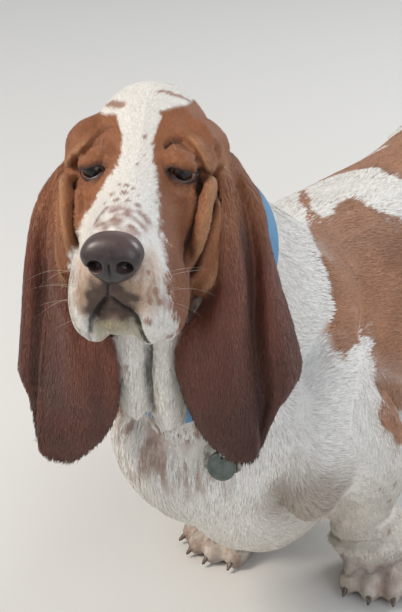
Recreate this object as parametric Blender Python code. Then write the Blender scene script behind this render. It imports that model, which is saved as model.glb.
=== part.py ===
"""Basset hound standing on its four feet, head turned a little to its own left.

The dog faces -Y, its left side is +X, the floor is z = 0.  Flesh is laid up as
overlapping rounded masses, fused into one skin, creased along the folds of a
basset, and then parted into the pieces a person would name.  Ears, eyes, nose,
claws, collar and tags are bodies of their own.
"""
import math

import bmesh
import bpy
import numpy as np
from mathutils import Matrix, Vector
from mathutils.bvhtree import BVHTree

# fit between neighbouring pieces, and the grain of the fused skin
GAP = 0.0003
GRAIN = 0.0026
FLOOR_CUT = 0.0015

# head: midpoint between the eyes, and how the head is turned, tipped and rolled
HEAD_AT = np.array([-0.028, -0.235, 0.488])
HEAD_YAW = math.radians(20.85)
HEAD_TIP = math.radians(-4.7)
HEAD_ROLL = math.radians(-0.9)

EYE_SPREAD = 0.0335
EYE_BACK = 0.0045
EYE_R = 0.0108
NOSE_AT = (0.0, -0.1035, -0.0355)
NOSE_HALF = (0.0222, 0.0140, 0.0180)

# feet: sideways and lengthways place of the middle of the foot, and its toe-out
FORE = {1: (0.074, 0.047, math.radians(22.0)), -1: (-0.076, 0.034, math.radians(-20.0))}
HIND = {1: (0.092, 0.492, math.radians(8.0)), -1: (-0.092, 0.492, math.radians(-8.0))}
# the fore part of the body leans this far to the dog's right of its feet
LEAN = 0.032
EAR_LONG = {1: 1.02, -1: 1.0}


# frames
def turn(yaw, tip, roll):
    """Rotation by yaw about Z, then tip about X, then roll about Y."""
    return np.array(Matrix.Rotation(yaw, 3, 'Z') @ Matrix.Rotation(tip, 3, 'X')
                    @ Matrix.Rotation(roll, 3, 'Y'))


HEAD_TURN = turn(HEAD_YAW, HEAD_TIP, HEAD_ROLL)
HANG_TURN = turn(HEAD_YAW, 0.0, 0.0)


def on_head(points):
    """Points of the skull's own frame, in the dog's frame."""
    return np.atleast_2d(points) @ HEAD_TURN.T + HEAD_AT


def on_hang(points):
    """Points that hang plumb from the turned head, in the dog's frame."""
    return np.atleast_2d(points) @ HANG_TURN.T + HEAD_AT


def as_is(points):
    return np.atleast_2d(np.asarray(points, float))


# rounded masses
def eased(rows, count):
    """Rows of a size table blended to `count` rows by a Catmull-Rom curve."""
    rows = np.asarray(rows, float)
    last = len(rows) - 1
    at = np.linspace(0.0, last, count)
    k = np.minimum(at.astype(int), last - 1)
    t = (at - k)[:, None]
    p0, p1 = rows[np.maximum(k - 1, 0)], rows[k]
    p2, p3 = rows[k + 1], rows[np.minimum(k + 2, last)]
    return 0.5 * (2 * p1 + (p2 - p0) * t + (2 * p0 - 5 * p1 + 4 * p2 - p3) * t ** 2
                  + (3 * p1 - p0 - 3 * p2 + p3) * t ** 3)


def skin_rings(rings):
    """Vertices and quads of a closed body through a stack of equal rings."""
    rings = np.asarray(rings)
    n, m, _ = rings.shape
    verts = np.vstack([rings.reshape(-1, 3), rings[0].mean(0), rings[-1].mean(0)])
    faces = []
    for i in range(n - 1):
        for j in range(m):
            k = (j + 1) % m
            faces.append((i * m + j, i * m + k, (i + 1) * m + k, (i + 1) * m + j))
    for j in range(m):
        k = (j + 1) % m
        faces.append((n * m, k, j))
        faces.append((n * m + 1, (n - 1) * m + j, (n - 1) * m + k))
    return verts, faces


def lean_at(y):
    """Sideways shift of the body's midline: full at the chest, none at the loin."""
    t = np.clip((0.30 - np.asarray(y, float)) / 0.36, 0.0, 1.0)
    return -LEAN * t * t * (3 - 2 * t)


def leaned(points):
    pts = np.atleast_2d(np.asarray(points, float)).copy()
    pts[:, 0] += lean_at(pts[:, 1]) * np.clip((pts[:, 2] - 0.03) / 0.27, 0.0, 1.0)
    return pts


SOFT = np.hanning(15) / np.hanning(15).sum()


def slab_mass(table, place=as_is, steps=40, around=36):
    """Mass through cross-sections: y, top, low, widths a quarter, half, three quarters down."""
    rings = []
    for y, top, low, w1, w2, w3 in eased(table, steps):
        phi = np.linspace(0, 2 * math.pi, around, endpoint=False)
        t = (1 - np.cos(phi)) / 2
        shape = np.abs(np.sin(phi)) ** 0.85
        quarter = math.sin(math.pi / 3) ** 0.85
        down = np.linspace(-0.3, 1.3, 65)
        wide = np.interp(down, (0.25, 0.5, 0.75), (w1 / quarter, w2, w3 / quarter))
        wide = np.interp(t, down, np.convolve(wide, SOFT, 'same'))
        x = np.sign(np.sin(phi)) * shape * wide
        z = (top + low) / 2 + (top - low) / 2 * np.cos(phi)
        rings.append(np.column_stack([x, np.full(around, y), z]))
    rings = np.array(rings)
    flat = place(rings.reshape(-1, 3)).reshape(rings.shape)
    return skin_rings(flat)


def limb_mass(table, place=as_is, steps=24, around=20, side=(1.0, 0.0, 0.0)):
    """Round limb along a path: x, y, z, half width, half depth."""
    rows = eased(table, steps)
    centre, wide, deep = rows[:, :3], rows[:, 3], rows[:, 4]
    along = np.gradient(centre, axis=0)
    along /= np.linalg.norm(along, axis=1)[:, None]
    side = np.asarray(side, float)
    rings = []
    phi = np.linspace(0, 2 * math.pi, around, endpoint=False)

    def ring(c, d, w, h):
        s = side - d * (side @ d)
        s /= np.linalg.norm(s)
        u = np.cross(d, s)
        return c + np.outer(np.cos(phi) * w, s) + np.outer(np.sin(phi) * h, u)

    for k, lift in ((0, -1.0), (-1, 1.0)):
        cap = []
        for a in (0.12, 0.45, 0.8):
            bulge = math.sin(math.acos(min(1.0, a))) * min(wide[k], deep[k]) * 0.7
            cap.append(ring(centre[k] + along[k] * lift * bulge, along[k],
                            wide[k] * a, deep[k] * a))
        if k == 0:
            rings += cap
        else:
            tail_cap = cap[::-1]
    for c, d, w, h in zip(centre, along, wide, deep):
        rings.append(ring(c, d, w, h))
    rings += tail_cap
    rings = np.array(rings)
    flat = place(rings.reshape(-1, 3)).reshape(rings.shape)
    return skin_rings(flat)


def ball_mass(centre, radii, place=as_is, lean=(0.0, 0.0, 0.0), rows=14, around=20):
    """Ellipsoid at `centre`, leaned by angles about X, Y and Z."""
    tip = np.array(Matrix.Rotation(lean[2], 3, 'Z') @ Matrix.Rotation(lean[1], 3, 'Y')
                   @ Matrix.Rotation(lean[0], 3, 'X'))
    rings = []
    for i in range(rows):
        a = math.pi * (i + 0.6) / (rows + 0.2)
        phi = np.linspace(0, 2 * math.pi, around, endpoint=False)
        rings.append(np.column_stack([np.sin(a) * np.cos(phi), np.sin(a) * np.sin(phi),
                                      np.full(around, -np.cos(a))]))
    rings = np.array(rings) * np.asarray(radii)
    flat = place(rings.reshape(-1, 3) @ tip.T + np.asarray(centre)).reshape(rings.shape)
    return skin_rings(flat)


# objects
def new_body(name, verts, faces):
    mesh = bpy.data.meshes.new(name)
    mesh.from_pydata([tuple(map(float, v)) for v in verts], [], [tuple(map(int, f)) for f in faces])
    mesh.update()
    body = bpy.data.objects.new(name, mesh)
    bpy.context.scene.collection.objects.link(body)
    return body


def outward(body):
    """Normals outward, on one closed surface."""
    bm = bmesh.new()
    bm.from_mesh(body.data)
    bmesh.ops.recalc_face_normals(bm, faces=bm.faces)
    if bm.calc_volume(signed=True) < 0:
        bmesh.ops.reverse_faces(bm, faces=bm.faces)
    bm.to_mesh(body.data)
    bm.free()
    return body


def drop(body):
    mesh = body.data
    bpy.data.objects.remove(body, do_unlink=True)
    if mesh.users == 0:
        bpy.data.meshes.remove(mesh)


def bake(body):
    """Modifiers of a body made real."""
    bpy.context.view_layer.update()
    graph = bpy.context.evaluated_depsgraph_get()
    mesh = bpy.data.meshes.new_from_object(body.evaluated_get(graph))
    old = body.data
    body.modifiers.clear()
    body.data = mesh
    mesh.name = body.name
    bpy.data.meshes.remove(old)
    return body


def fuse(name, masses, grain):
    """All masses as one skin of even grain."""
    verts, faces, base = [], [], 0
    for v, f in masses:
        verts.append(v)
        faces += [tuple(i + base for i in face) for face in f]
        base += len(v)
    body = outward(new_body(name, np.vstack(verts), faces))
    mod = body.modifiers.new("skin", 'REMESH')
    mod.mode = 'VOXEL'
    mod.voxel_size = grain
    mod.adaptivity = 0.0
    return bake(body)


def coords(body):
    co = np.empty(len(body.data.vertices) * 3)
    body.data.vertices.foreach_get("co", co)
    return co.reshape(-1, 3)


def set_coords(body, co):
    body.data.vertices.foreach_set("co", co.ravel())
    body.data.update()


def vertex_normals(body):
    body.data.update()
    n = np.empty(len(body.data.vertices) * 3, dtype=np.float32)
    body.data.vertex_normals.foreach_get("vector", n)
    return n.reshape(-1, 3).astype(float)


def soften(body, rounds, pull=0.5, share=None):
    """Neighbour averaging with a counter step, so that the size is kept."""
    edges = np.empty(len(body.data.edges) * 2, dtype=np.int32)
    body.data.edges.foreach_get("vertices", edges)
    a, b = edges[0::2], edges[1::2]
    co = coords(body)
    count = np.bincount(np.concatenate([a, b]), minlength=len(co))[:, None]
    for _ in range(rounds):
        for step in (pull, -pull * 0.94):
            mean = np.column_stack([np.bincount(a, co[b, k], len(co)) + np.bincount(b, co[a, k], len(co))
                                    for k in range(3)]) / count
            move = step * (mean - co)
            co = co + (move if share is None else move * share[:, None])
    set_coords(body, co)


def crease(body, path, width, height):
    """Raise (or sink) the skin along a path; the ends fade out."""
    path = np.asarray(path, float)
    fine = eased(path, max(12, 5 * len(path)))
    co = coords(body)
    near = np.where(((co > fine.min(0) - 3 * width) & (co < fine.max(0) + 3 * width)).all(1))[0]
    if not len(near):
        return
    pts = co[near]
    best = np.full(len(near), 1e9)
    share = np.zeros(len(near))
    a, b = fine[:-1], fine[1:]
    for k in range(len(a)):
        d = b[k] - a[k]
        t = np.clip(((pts - a[k]) @ d) / (d @ d), 0, 1)
        dist = np.linalg.norm(pts - (a[k] + t[:, None] * d), axis=1)
        hit = dist < best
        best[hit] = dist[hit]
        share[hit] = (k + t[hit]) / len(a)
    fade = np.minimum(1.0, np.minimum(share, 1 - share) / 0.15) ** 0.7
    push = height * np.exp(-(best / width) ** 2) * fade
    nrm = vertex_normals(body)[near]
    co[near] = pts + nrm * push[:, None]
    set_coords(body, co)


def cut(body, cutter, mode='DIFFERENCE', keep=False):
    """Boolean of a body with one cutter, made real."""
    cutter.hide_render = True
    cutter.display_type = 'WIRE'
    mod = body.modifiers.new("cut", 'BOOLEAN')
    mod.operation = mode
    mod.solver = 'EXACT'
    mod.object = cutter
    bake(body)
    if not keep:
        drop(cutter)
    return body


def copy_of(body, name):
    twin = bpy.data.objects.new(name, body.data.copy())
    bpy.context.scene.collection.objects.link(twin)
    return twin


def swollen(body, name, by):
    """Copy of a body with its skin moved out by `by`."""
    twin = copy_of(body, name)
    co = coords(twin) + vertex_normals(twin) * by
    set_coords(twin, co)
    return twin


def largest_only(body):
    """Keep the largest closed surface; weld and drop slivers."""
    bm = bmesh.new()
    bm.from_mesh(body.data)
    bmesh.ops.remove_doubles(bm, verts=bm.verts, dist=0.00002)
    bmesh.ops.dissolve_degenerate(bm, edges=bm.edges, dist=0.00001)
    bm.verts.ensure_lookup_table()
    seen, groups = set(), []
    for v in bm.verts:
        if v in seen:
            continue
        stack, group = [v], []
        seen.add(v)
        while stack:
            w = stack.pop()
            group.append(w)
            for e in w.link_edges:
                o = e.other_vert(w)
                if o not in seen:
                    seen.add(o)
                    stack.append(o)
        groups.append(group)
    groups.sort(key=len, reverse=True)
    for group in groups[1:]:
        bmesh.ops.delete(bm, geom=group, context='VERTS')
    bmesh.ops.triangulate(bm, faces=bm.faces)
    bm.to_mesh(body.data)
    bm.free()
    body.data.update()
    return body


def tris(body):
    return sum(len(p.vertices) - 2 for p in body.data.polygons)


# how much the vertex group steers the thinning: more makes the body coarse against the face
FACE_KEEP = 0.030


def thin_out(body, target, fine_spot=None, fine_reach=0.0):
    """Fewer triangles, keeping more of them around the face."""
    if fine_spot is not None:
        group = body.vertex_groups.new(name="plain")
        co = coords(body)
        d = np.linalg.norm(co - np.asarray(fine_spot), axis=1)
        w = np.clip((d - fine_reach * 0.75) / (fine_reach * 0.35), 0.0, 1.0)
        for level in (0.0, 0.25, 0.5, 0.75, 1.0):
            ids = np.where(np.abs(w - level) <= 0.125)[0].tolist()
            group.add(ids, 0.02 + 0.98 * level, 'REPLACE')
    mod = body.modifiers.new("thin", 'DECIMATE')
    mod.ratio = min(1.0, target / max(1, tris(body)))
    if fine_spot is not None:
        mod.vertex_group = "plain"
        mod.vertex_group_factor = FACE_KEEP
    bake(body)
    body.vertex_groups.clear()
    return body


def box_beyond(name, point, normal, size, shift=0.0):
    """Big box whose one face lies on the plane, on the side the normal points to."""
    n = Vector(normal).normalized()
    turn_to = n.to_track_quat('Z', 'X').to_matrix()
    bm = bmesh.new()
    bmesh.ops.create_cube(bm, size=1.0)
    for v in bm.verts:
        p = Vector((v.co.x * size, v.co.y * size, (v.co.z + 0.5) * size))
        v.co = turn_to @ p + Vector(point) + n * shift
    mesh = bpy.data.meshes.new(name)
    bm.to_mesh(mesh)
    bm.free()
    body = bpy.data.objects.new(name, mesh)
    bpy.context.scene.collection.objects.link(body)
    return body


def stack_body(name, table, grow=0.0, around=18, place=as_is):
    """Cutter of upright stacked ellipses: z, x, y, half width, half depth."""
    rings = []
    phi = np.linspace(0, 2 * math.pi, around, endpoint=False)
    for z, x, y, w, d in table:
        rings.append(np.column_stack([x + np.cos(phi) * (w + grow), y + np.sin(phi) * (d + grow),
                                      np.full(around, z + (grow if z > 0.05 else 0.0))]))
    rings = np.array(rings)
    v, f = skin_rings(place(rings.reshape(-1, 3)).reshape(rings.shape))
    return outward(new_body(name, v, f))


def split_by(body, name, make):
    """Take the piece inside a cutter out of the body, leaving the fit between them."""
    piece = copy_of(body, name)
    cut(piece, make(0.0), 'INTERSECT')
    largest_only(piece)
    cut(body, make(GAP))
    largest_only(body)
    return piece


def paint(body, name, base, rough, metal=0.0):
    mat = bpy.data.materials.new(name)
    mat.use_nodes = True
    shader = mat.node_tree.nodes["Principled BSDF"]
    shader.inputs["Base Color"].default_value = (*base, 1.0)
    shader.inputs["Roughness"].default_value = rough
    shader.inputs["Metallic"].default_value = metal
    mat.diffuse_color = (*base, 1.0)
    body.data.materials.clear()
    body.data.materials.append(mat)
    for p in body.data.polygons:
        p.use_smooth = True
        p.material_index = 0
    return body


# the dog
TORSO = (
    # y, top, low, half widths a quarter, half and three quarters down
    (-0.168, 0.290, 0.170, 0.026, 0.034, 0.026),
    (-0.145, 0.325, 0.122, 0.056, 0.066, 0.038),
    (-0.105, 0.348, 0.090, 0.072, 0.087, 0.045),
    (-0.055, 0.360, 0.066, 0.080, 0.098, 0.053),
    (0.000, 0.368, 0.062, 0.082, 0.105, 0.066),
    (0.060, 0.368, 0.068, 0.084, 0.112, 0.084),
    (0.130, 0.366, 0.082, 0.088, 0.118, 0.097),
    (0.220, 0.363, 0.102, 0.089, 0.117, 0.097),
    (0.310, 0.361, 0.130, 0.087, 0.108, 0.086),
    (0.390, 0.360, 0.158, 0.084, 0.098, 0.076),
    (0.460, 0.354, 0.184, 0.084, 0.096, 0.074),
    (0.520, 0.340, 0.208, 0.076, 0.086, 0.068),
    (0.570, 0.316, 0.236, 0.056, 0.062, 0.050),
    (0.592, 0.298, 0.262, 0.020, 0.024, 0.020),
)

HEAD = (
    (-0.098, -0.024, -0.064, 0.014, 0.021, 0.018),
    (-0.090, -0.018, -0.076, 0.021, 0.029, 0.027),
    (-0.070, -0.012, -0.088, 0.024, 0.033, 0.033),
    (-0.045, -0.006, -0.096, 0.025, 0.036, 0.037),
    (-0.020, 0.002, -0.102, 0.029, 0.041, 0.041),
    (0.000, 0.014, -0.105, 0.040, 0.051, 0.047),
    (0.018, 0.027, -0.106, 0.048, 0.059, 0.052),
    (0.040, 0.043, -0.105, 0.048, 0.065, 0.056),
    (0.060, 0.051, -0.101, 0.047, 0.067, 0.058),
    (0.085, 0.051, -0.092, 0.044, 0.064, 0.056),
    (0.110, 0.042, -0.074, 0.037, 0.053, 0.046),
    (0.130, 0.028, -0.054, 0.026, 0.037, 0.033),
    (0.142, 0.010, -0.034, 0.012, 0.016, 0.012),
)


def head_masses():
    m = [slab_mass(HEAD, on_head)]
    for s in (-1, 1):
        # temple, brow, cheek, flew in front and behind, pad beside the nose
        m.append(ball_mass((s * 0.040, 0.047, 0.006), (0.020, 0.036, 0.023), on_head))
        m.append(ball_mass((s * 0.030, 0.011, 0.0070), (0.018, 0.012, 0.0075), on_head, (0, s * 0.30, 0)))
        m.append(ball_mass((s * 0.046, 0.014, -0.054), (0.016, 0.034, 0.046), on_head))
        m.append(ball_mass((s * 0.0220, -0.066, -0.078), (0.0165, 0.029, 0.033), on_head, (0.22, s * 0.10, 0.0)))
        m.append(ball_mass((s * 0.0300, -0.040, -0.082), (0.0140, 0.036, 0.034), on_head))
        m.append(ball_mass((s * 0.0125, -0.087, -0.054), (0.0150, 0.0135, 0.0175), on_head))
    m.append(ball_mass((0.0, -0.066, -0.0885), (0.0200, 0.0265, 0.0140), on_head))
    m.append(ball_mass((0.0, -0.020, -0.088), (0.030, 0.055, 0.024), on_head))
    return m


def neck_masses():
    m = [limb_mass(((-0.052, -0.172, 0.450, 0.052, 0.060), (-0.046, -0.142, 0.412, 0.058, 0.066),
                    (-0.038, -0.102, 0.363, 0.065, 0.076), (-0.030, -0.060, 0.316, 0.078, 0.089),
                    (-0.022, -0.020, 0.272, 0.090, 0.101)))]
    # breastbone lobe, and the throat that joins it to the head
    m.append(ball_mass((-0.040, -0.118, 0.208), (0.080, 0.070, 0.085), lean=(0, -0.60, 0)))
    m.append(ball_mass((-0.032, -0.150, 0.290), (0.052, 0.050, 0.070)))
    return m


def dewlap_masses():
    lobes = (((-0.003, -0.016, -0.095, 0.0140, 0.0135), (-0.0045, -0.018, -0.134, 0.0140, 0.0130),
              (-0.0055, -0.013, -0.168, 0.0135, 0.0130), (-0.0060, -0.004, -0.194, 0.0110, 0.0110)),
             ((0.022, -0.016, -0.095, 0.0150, 0.014), (0.0225, -0.018, -0.132, 0.0160, 0.014),
              (0.0225, -0.010, -0.172, 0.0170, 0.015), (0.0230, 0.000, -0.206, 0.0140, 0.0125)))
    m = [limb_mass(row, on_hang, steps=16) for row in lobes]
    m.append(ball_mass((0.010, 0.014, -0.108), (0.034, 0.040, 0.032), on_hang))
    m.append(ball_mass((-0.014, 0.022, -0.125), (0.026, 0.032, 0.040), on_hang))
    return m


def foreleg_masses(s):
    fx, fy, out = FORE[s]
    col = fx - s * 0.018
    m = [ball_mass((-0.020 + s * 0.074, -0.064, 0.215), (0.036, 0.060, 0.088), lean=(-0.25, 0, 0))]
    m.append(limb_mass(((-0.020 + s * 0.074, -0.060, 0.225, 0.036, 0.052),
                        (-0.012 + s * 0.080, -0.018, 0.178, 0.037, 0.052),
                        (col + s * 0.014, fy - 0.024, 0.135, 0.034, 0.042),
                        (col, fy - 0.018, 0.095, 0.0315, 0.0330),
                        (col + s * 0.003, fy - 0.012, 0.060, 0.0310, 0.0315),
                        (fx - s * 0.008, fy - 0.006, 0.034, 0.031, 0.032)), steps=30))
    for z, r in ((0.093, 0.0340), (0.072, 0.0362), (0.049, 0.0388)):
        m.append(ball_mass((col + s * (0.095 - z) * 0.14, fy - 0.016 + (0.095 - z) * 0.10, z), (r, r, 0.0105)))
    return m + paw_masses(fx, fy, out, 1.0)


def hindleg_masses(s):
    x, y, out = HIND[s]
    m = [ball_mass((s * 0.072, 0.462, 0.236), (0.046, 0.085, 0.094), lean=(0.25, 0, 0))]
    m.append(limb_mass(((s * 0.080, 0.458, 0.236, 0.046, 0.070), (s * 0.094, 0.434, 0.190, 0.040, 0.052),
                        (s * 0.096, 0.468, 0.145, 0.030, 0.036), (x, 0.512, 0.112, 0.023, 0.028),
                        (x, 0.516, 0.075, 0.023, 0.026), (x, 0.504, 0.038, 0.026, 0.028))))
    m.append(ball_mass((x, 0.531, 0.116), (0.018, 0.018, 0.022)))
    return m + paw_masses(x, y, out, 0.92)


TOES = ((-0.0285, -0.026, -0.32), (-0.0100, -0.036, -0.08), (0.0100, -0.036, 0.08), (0.0285, -0.026, 0.32))
TOE_HALF = (0.0118, 0.0215, 0.0160)


def foot_frame(x, y, heading, scale):
    """From the foot's own frame (toes towards -Y) to the dog's frame."""
    c, s = math.cos(heading), math.sin(heading)
    spin = np.array([[c, -s, 0], [s, c, 0], [0, 0, 1]]) * scale

    def place(points):
        return np.atleast_2d(points) @ spin.T + np.array([x, y, 0.0])
    return place


def paw_masses(x, y, heading, scale):
    place = foot_frame(x, y, heading, scale)
    m = [ball_mass((0.0, 0.004, 0.024), (0.037, 0.038, 0.026), place)]
    for tx, ty, fan in TOES:
        m.append(ball_mass((tx, ty, 0.0150), TOE_HALF, place, lean=(0.18, 0, fan)))
    m.append(ball_mass((0.0, 0.012, 0.010), (0.026, 0.022, 0.012), place))
    return m


def tail_masses():
    return [limb_mass(((0, 0.530, 0.306, 0.034, 0.034), (0, 0.585, 0.314, 0.026, 0.028),
                       (0, 0.640, 0.326, 0.0195, 0.0195), (0, 0.690, 0.348, 0.0150, 0.0150),
                       (0, 0.735, 0.385, 0.0115, 0.0115), (0, 0.760, 0.430, 0.0070, 0.0070)))]


def fold_lines(flesh):
    """Folds of loose skin, as ridges and sunk lines on the fused skin."""
    H, G = on_head, on_hang
    for s in (-1, 1):
        def P(*rows):
            return H([(s * x, y, z) for x, y, z in rows])
        # fold that frames the cheek, from the brow round the eye and down
        crease(flesh, P((0.022, 0.052, 0.045), (0.038, 0.040, 0.033), (0.050, 0.026, 0.017),
                        (0.056, 0.014, -0.002), (0.056, 0.004, -0.024), (0.052, -0.004, -0.046),
                        (0.045, -0.014, -0.068), (0.036, -0.022, -0.086)), 0.0058, 0.0052)
        crease(flesh, P((0.036, 0.022, 0.020), (0.044, 0.012, 0.006), (0.046, 0.004, -0.012),
                        (0.046, -0.002, -0.030), (0.042, -0.012, -0.050), (0.036, -0.022, -0.070)),
               0.0034, -0.0044)
        # fold behind it, that carries the front of the ear
        crease(flesh, P((0.044, 0.062, 0.030), (0.057, 0.050, 0.012), (0.064, 0.038, -0.008),
                        (0.067, 0.028, -0.032), (0.064, 0.016, -0.058), (0.057, 0.004, -0.082),
                        (0.046, -0.006, -0.100)), 0.0066, 0.0056)
        crease(flesh, P((0.050, 0.042, 0.020), (0.060, 0.028, 0.002), (0.063, 0.018, -0.020),
                        (0.061, 0.008, -0.046), (0.054, -0.004, -0.070), (0.044, -0.014, -0.090)),
               0.0030, -0.0044)
        # sunk line between brow and forehead, and the furrow up from the inner eye
        crease(flesh, P((0.014, 0.000, 0.012), (0.020, 0.010, 0.022), (0.032, 0.020, 0.026),
                        (0.042, 0.024, 0.020)), 0.0034, -0.0026)
        crease(flesh, P((0.012, 0.014, 0.026), (0.016, 0.026, 0.036), (0.026, 0.038, 0.041)),
               0.0040, -0.0016)
        # pouch under the eye, hanging lower lid
        crease(flesh, P((0.020, -0.012, -0.010), (0.031, -0.011, -0.0155), (0.043, -0.004, -0.013)),
               0.0040, 0.0022)
        crease(flesh, P((0.018, -0.016, -0.018), (0.030, -0.014, -0.024), (0.042, -0.007, -0.022)),
               0.0034, -0.0014)
    # split of the upper lip under the nose, and the line of the mouth
    crease(flesh, H([(0, -0.106, -0.048), (0, -0.106, -0.058), (0, -0.103, -0.068)]), 0.0022, -0.0028)
    for s in (-1, 1):
        crease(flesh, H([(0.0, -0.100, -0.0700), (s * 0.008, -0.098, -0.0740), (s * 0.0145, -0.092, -0.0820),
                         (s * 0.0185, -0.082, -0.0920), (s * 0.0200, -0.064, -0.1010)]), 0.0030, -0.0050)
    # deep line between the two folds of the dewlap, and one down each side of the throat
    crease(flesh, G([(0.0085, -0.030, -0.112), (0.0085, -0.032, -0.140), (0.0080, -0.028, -0.170),
                     (0.0080, -0.016, -0.196)]), 0.0030, -0.0060)
    # folds of the neck's side behind the ears
    for x0, y0, z0 in ((0.060, -0.062, 0.300), (0.072, -0.036, 0.280)):
        crease(flesh, [(x0 - 0.006, y0 + 0.018, z0 + 0.050), (x0, y0, z0), (x0 - 0.002, y0 - 0.022, z0 - 0.052)],
               0.0080, 0.0022)


# ears: front edge, valley and rear edge of the hanging leather, from the set down
EAR_ROWS = {
    1: (  # z, front x, y, valley x, y, rear x, y
        (0.002, 0.044, 0.040, 0.050, 0.052, 0.052, 0.070),
        (-0.016, 0.054, 0.030, 0.064, 0.036, 0.068, 0.066),
        (-0.036, 0.060, 0.022, 0.074, 0.028, 0.083, 0.064),
        (-0.060, 0.060, 0.006, 0.079, 0.016, 0.088, 0.062),
        (-0.088, 0.054, -0.008, 0.084, 0.006, 0.096, 0.060),
        (-0.106, 0.041, -0.018, 0.0845, 0.003, 0.102, 0.056),
        (-0.124, 0.031, -0.030, 0.0845, 0.001, 0.109, 0.053),
        (-0.144, 0.0315, -0.033, 0.085, 0.000, 0.1155, 0.050),
        (-0.167, 0.0370, -0.031, 0.0875, 0.001, 0.1225, 0.044),
        (-0.181, 0.0410, -0.028, 0.0900, 0.004, 0.1190, 0.038),
        (-0.194, 0.0460, -0.025, 0.0920, 0.006, 0.1060, 0.026),
        (-0.208, 0.0540, -0.021, 0.0900, 0.002, 0.0985, 0.010),
        (-0.221, 0.0640, -0.016, 0.0870, -0.004, 0.0970, 0.001),
        (-0.2305, 0.0745, -0.011, 0.0830, -0.008, 0.0890, -0.004)),
    -1: (
        (-0.004, 0.046, 0.040, 0.054, 0.052, 0.055, 0.066),
        (-0.022, 0.057, 0.034, 0.065, 0.040, 0.070, 0.060),
        (-0.042, 0.063, 0.024, 0.072, 0.030, 0.084, 0.056),
        (-0.066, 0.060, 0.006, 0.074, 0.017, 0.091, 0.055),
        (-0.090, 0.046, -0.012, 0.075, 0.009, 0.095, 0.055),
        (-0.108, 0.026, -0.024, 0.0745, 0.005, 0.098, 0.054),
        (-0.126, 0.0135, -0.030, 0.0755, 0.003, 0.100, 0.051),
        (-0.146, 0.0090, -0.031, 0.0765, 0.001, 0.1025, 0.048),
        (-0.168, 0.0085, -0.031, 0.0775, 0.000, 0.1050, 0.044),
        (-0.185, 0.0115, -0.028, 0.0800, 0.003, 0.1060, 0.040),
        (-0.199, 0.0165, -0.025, 0.0800, 0.004, 0.0930, 0.022),
        (-0.215, 0.0260, -0.022, 0.0800, -0.002, 0.0860, 0.004),
        (-0.231, 0.0400, -0.019, 0.0780, -0.007, 0.0860, -0.003),
        (-0.2425, 0.0540, -0.016, 0.0640, -0.013, 0.0740, -0.009)),
}
EAR_THICK = 0.0052


def ear_body(name, s, down=22, across=15):
    rows = eased(EAR_ROWS[s], down) * EAR_LONG[s]
    sheet = np.zeros((down, across, 3))
    v = np.linspace(0, 1, across)
    for i, (z, fx, fy, vx, vy, rx, ry) in enumerate(rows):
        u = i / (down - 1)
        knee = 0.60
        first = np.clip(v / knee, 0, 1)
        second = np.clip((v - knee) / (1 - knee), 0, 1)
        x = fx + (vx - fx) * first + (rx - vx) * second
        y = fy + (vy - fy) * first + (ry - vy) * second
        # the front lobe bellies forward and out, the rear one bellies out
        belly = math.sin(math.pi * min(1.0, u * 1.1)) ** 0.5
        front = np.sin(np.pi * first) * (v < knee)
        rear = np.sin(np.pi * second) * (v >= knee)
        y = y - 0.0165 * belly * front - 0.007 * belly * rear
        y = y + 0.0110 * belly * np.exp(-((v - knee) / 0.085) ** 2)
        x = x + 0.006 * belly * rear
        # soft ripple along the leather
        x = x + 0.0016 * np.sin(3.0 * math.pi * v + 2.0 * u) * belly
        y = y + 0.0016 * np.cos(2.4 * math.pi * v + 5.0 * u) * belly
        sheet[i] = np.column_stack([s * x, y, np.full(across, z)])
    du = np.gradient(sheet, axis=0)
    dv = np.gradient(sheet, axis=1)
    nrm = np.cross(du, dv)
    nrm /= np.linalg.norm(nrm, axis=2)[:, :, None]
    eu = np.linspace(-1, 1, down)[:, None]
    ev = np.linspace(-1, 1, across)[None, :]
    rim = 1 - 0.45 * np.maximum(np.maximum(eu, 0) ** 6, np.abs(ev) ** 6)
    half = EAR_THICK / 2 * rim[:, :, None]
    front, back = sheet + nrm * half, sheet - nrm * half
    n = down * across
    verts = on_hang(np.vstack([front.reshape(-1, 3), back.reshape(-1, 3)]))
    faces = []
    for i in range(down - 1):
        for j in range(across - 1):
            a, b = i * across + j, i * across + j + 1
            c, d = a + across, b + across
            faces += [(a, b, d), (a, d, c), (n + a, n + d, n + b), (n + a, n + c, n + d)]
    loop = ([j for j in range(across)] + [i * across + across - 1 for i in range(1, down)]
            + [(down - 1) * across + j for j in range(across - 2, -1, -1)]
            + [i * across for i in range(down - 2, 0, -1)])
    for k in range(len(loop)):
        a, b = loop[k], loop[(k + 1) % len(loop)]
        faces += [(b, a, n + a), (b, n + a, n + b)]
    body = fuse(name, [(verts, faces)], 0.0017)
    soften(body, 4)
    thin_out(body, 900)
    return largest_only(body)


def eye_centre(s):
    return on_head([(s * EYE_SPREAD, EYE_BACK + 0.0035, 0.0)])[0]


def eye_opening(name, s, grow=0.0):
    """Almond cutter between the lids, drooping at its outer end."""
    half_w, half_h = 0.0112, 0.0044
    rings = []
    for d, swell in ((-0.034, 1.12), (-0.014, 1.04), (-0.006, 0.98), (0.004, 0.85)):
        ring = []
        for k in range(24):
            a = 2 * math.pi * k / 24
            x = half_w * math.cos(a)
            z = half_h * math.sin(a) * (1 - 0.30 * math.cos(a) ** 2)
            z -= 0.0026 + 0.0018 * (x / half_w)
            ring.append(((s * (EYE_SPREAD + 0.0005 + x * swell)), d + EYE_BACK, z * swell))
        rings.append(ring)
    v, f = skin_rings(on_head(np.array(rings).reshape(-1, 3)).reshape(4, 24, 3))
    return outward(new_body(name, v, f))


def round_body(name, centre, radii, place=as_is, lean=(0, 0, 0), rows=12, around=20):
    v, f = ball_mass(centre, radii, place, lean, rows, around)
    return outward(new_body(name, v, f))


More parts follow.
